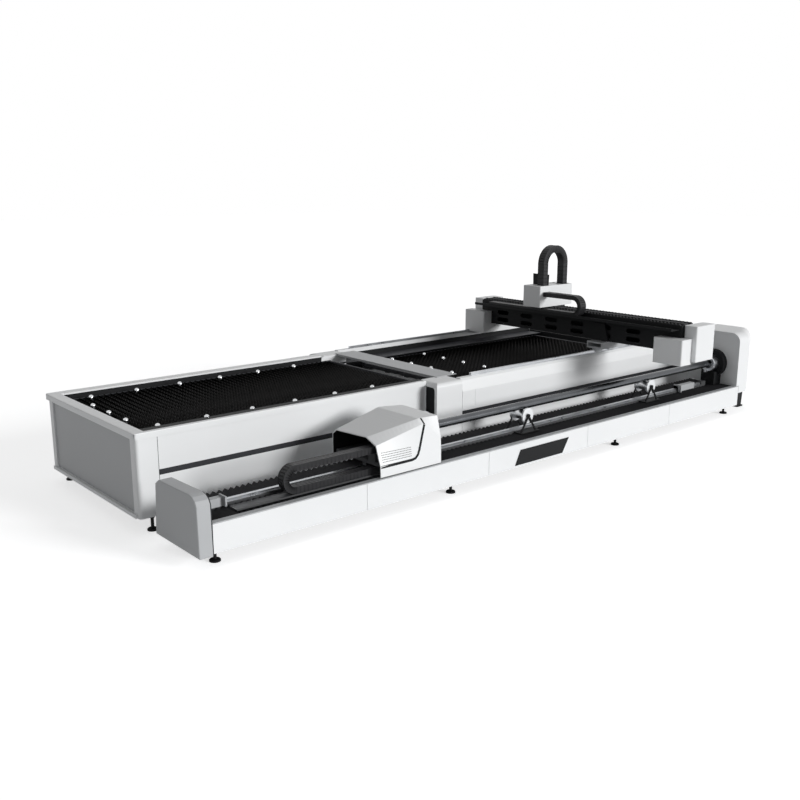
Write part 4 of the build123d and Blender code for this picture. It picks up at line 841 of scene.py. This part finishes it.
# Studio: strength of the soft fill, the sun and the paper's lift
FILL = 0.24
SUN = 2.5
SUN_ANGLE = 20
SUN_TILT = 75
SUN_TURN = 25
PAPER_LIFT = 0.62
PAPER_HALF = 60


def lens_and_gloss(tree):
    """Share that is 1 for what the camera or a gloss sees, and 0 for what lights the machine."""
    ray = add(tree, "ShaderNodeLightPath")
    return add(tree, "ShaderNodeMath", {"operation": "MAXIMUM"},
               {0: ray.outputs["Is Camera Ray"], 1: ray.outputs["Is Glossy Ray"]}).outputs[0]


def soft_world(scene):
    """White behind the machine, and an even fill on it."""
    world = bpy.data.worlds.new("studio_world")
    scene.world = world
    world.use_nodes = True
    tree = world.node_tree
    tree.nodes.clear()
    seen = lens_and_gloss(tree)
    fill = add(tree, "ShaderNodeBackground", {"Color": linear("#FFFFFF"), "Strength": FILL})
    back = add(tree, "ShaderNodeBackground", {"Color": linear("#FFFFFF"), "Strength": 1.0})
    mixed = add(tree, "ShaderNodeMixShader", (),
                {0: seen, 1: fill.outputs[0], 2: back.outputs[0]})
    add(tree, "ShaderNodeOutputWorld", (), {"Surface": mixed.outputs[0]})


def front_softbox(scene):
    """Low sun from the front right."""
    lamp = bpy.data.lights.new("front_softbox", "SUN")
    lamp.energy = SUN
    lamp.angle = radians(SUN_ANGLE)
    key = bpy.data.objects.new("front_softbox", lamp)
    key.rotation_euler = (radians(SUN_TILT), 0, radians(SUN_TURN))
    scene.collection.objects.link(key)


def seamless_paper():
    """Matt white paper, lifted where the camera sees it so that it reads as white."""
    paper = bpy.data.materials.new("seamless_paper")
    paper.use_nodes = True
    tree = paper.node_tree
    shader = tree.nodes["Principled BSDF"]
    shader.inputs["Base Color"].default_value = linear("#F2F3F4")
    shader.inputs["Roughness"].default_value = 0.9
    lift = add(tree, "ShaderNodeEmission", {"Color": linear("#FFFFFF"), "Strength": PAPER_LIFT})
    off = add(tree, "ShaderNodeEmission", {"Color": linear("#FFFFFF"), "Strength": 0.0})
    lifted = add(tree, "ShaderNodeMixShader", (),
                 {0: lens_and_gloss(tree), 1: off.outputs[0], 2: lift.outputs[0]})
    both = add(tree, "ShaderNodeAddShader", (), {0: shader.outputs[0], 1: lifted.outputs[0]})
    tree.links.new(both.outputs[0], tree.nodes["Material Output"].inputs["Surface"])
    return paper


def studio_floor(scene):
    """Wide sheet of paper under the machine."""
    mesh = bmesh.new()
    mesh.faces.new([mesh.verts.new((x, y, 0)) for x, y in
                    ((-PAPER_HALF, -PAPER_HALF), (PAPER_HALF, -PAPER_HALF),
                     (PAPER_HALF, PAPER_HALF), (-PAPER_HALF, PAPER_HALF))])
    data = bpy.data.meshes.new("studio_floor")
    mesh.to_mesh(data)
    mesh.free()
    data.materials.append(seamless_paper())
    floor = bpy.data.objects.new("studio_floor", data)
    scene.collection.objects.link(floor)


def photo_camera(scene):
    """Camera where the photograph was taken from."""
    lens = bpy.data.cameras.new("photo_camera")
    lens.lens = CAMERA_LENS
    lens.sensor_width = 36
    lens.clip_end = 200
    camera = bpy.data.objects.new("photo_camera", lens)
    camera.location = at(*CAMERA_SPOT)
    camera.rotation_euler = (radians(90 - CAMERA_ELEVATION), 0, radians(CAMERA_AZIMUTH))
    scene.collection.objects.link(camera)
    scene.camera = camera


# Nodes that the photograph shows in another paint than their slot's
OTHER_PAINT = {"gantry_beam": "black_paint", "chain_tray": "black_paint",
               "fixed_chuck_body": "black_paint", "beam_ribs": "bellows_black",
               "cross_rails": "black_paint", "pallet_rails": "dark_frame",
               "tube_end_cap": "grey_paint"}


def dress_nodes(finishes):
    """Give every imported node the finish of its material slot, or its other paint."""
    for part in frame["record"]["subparts"]:
        node = nodes[part["node"]]
        finish = finishes[OTHER_PAINT.get(part["node"], part["material_slot"])]
        if not node.data.materials:
            node.data.materials.append(finish)
        for slot in node.material_slots:
            slot.material = finish


scene = bpy.context.scene
scene.view_settings.view_transform = "Standard"
soft_world(scene)
front_softbox(scene)
studio_floor(scene)
photo_camera(scene)

finishes = make_materials()
dress_nodes(finishes)
for pallet, columns in (("upper_pallet", UPPER_COLUMNS), ("lower_pallet", LOWER_COLUMNS)):
    support_slats(pallet, finishes)
    ball_units(pallet, columns, finishes)
for make_piece in (chuck_chain, beam_chain, head_chain, chuck_cover, cover_vent_shades, cover_stripe,
                   roller_stands, groove_bands, rail_brackets, entry_recess_shades, gusset_skin,
                   low_back_frame, well_shade_sheets, post_seam, wall_ends):
    make_piece(finishes)
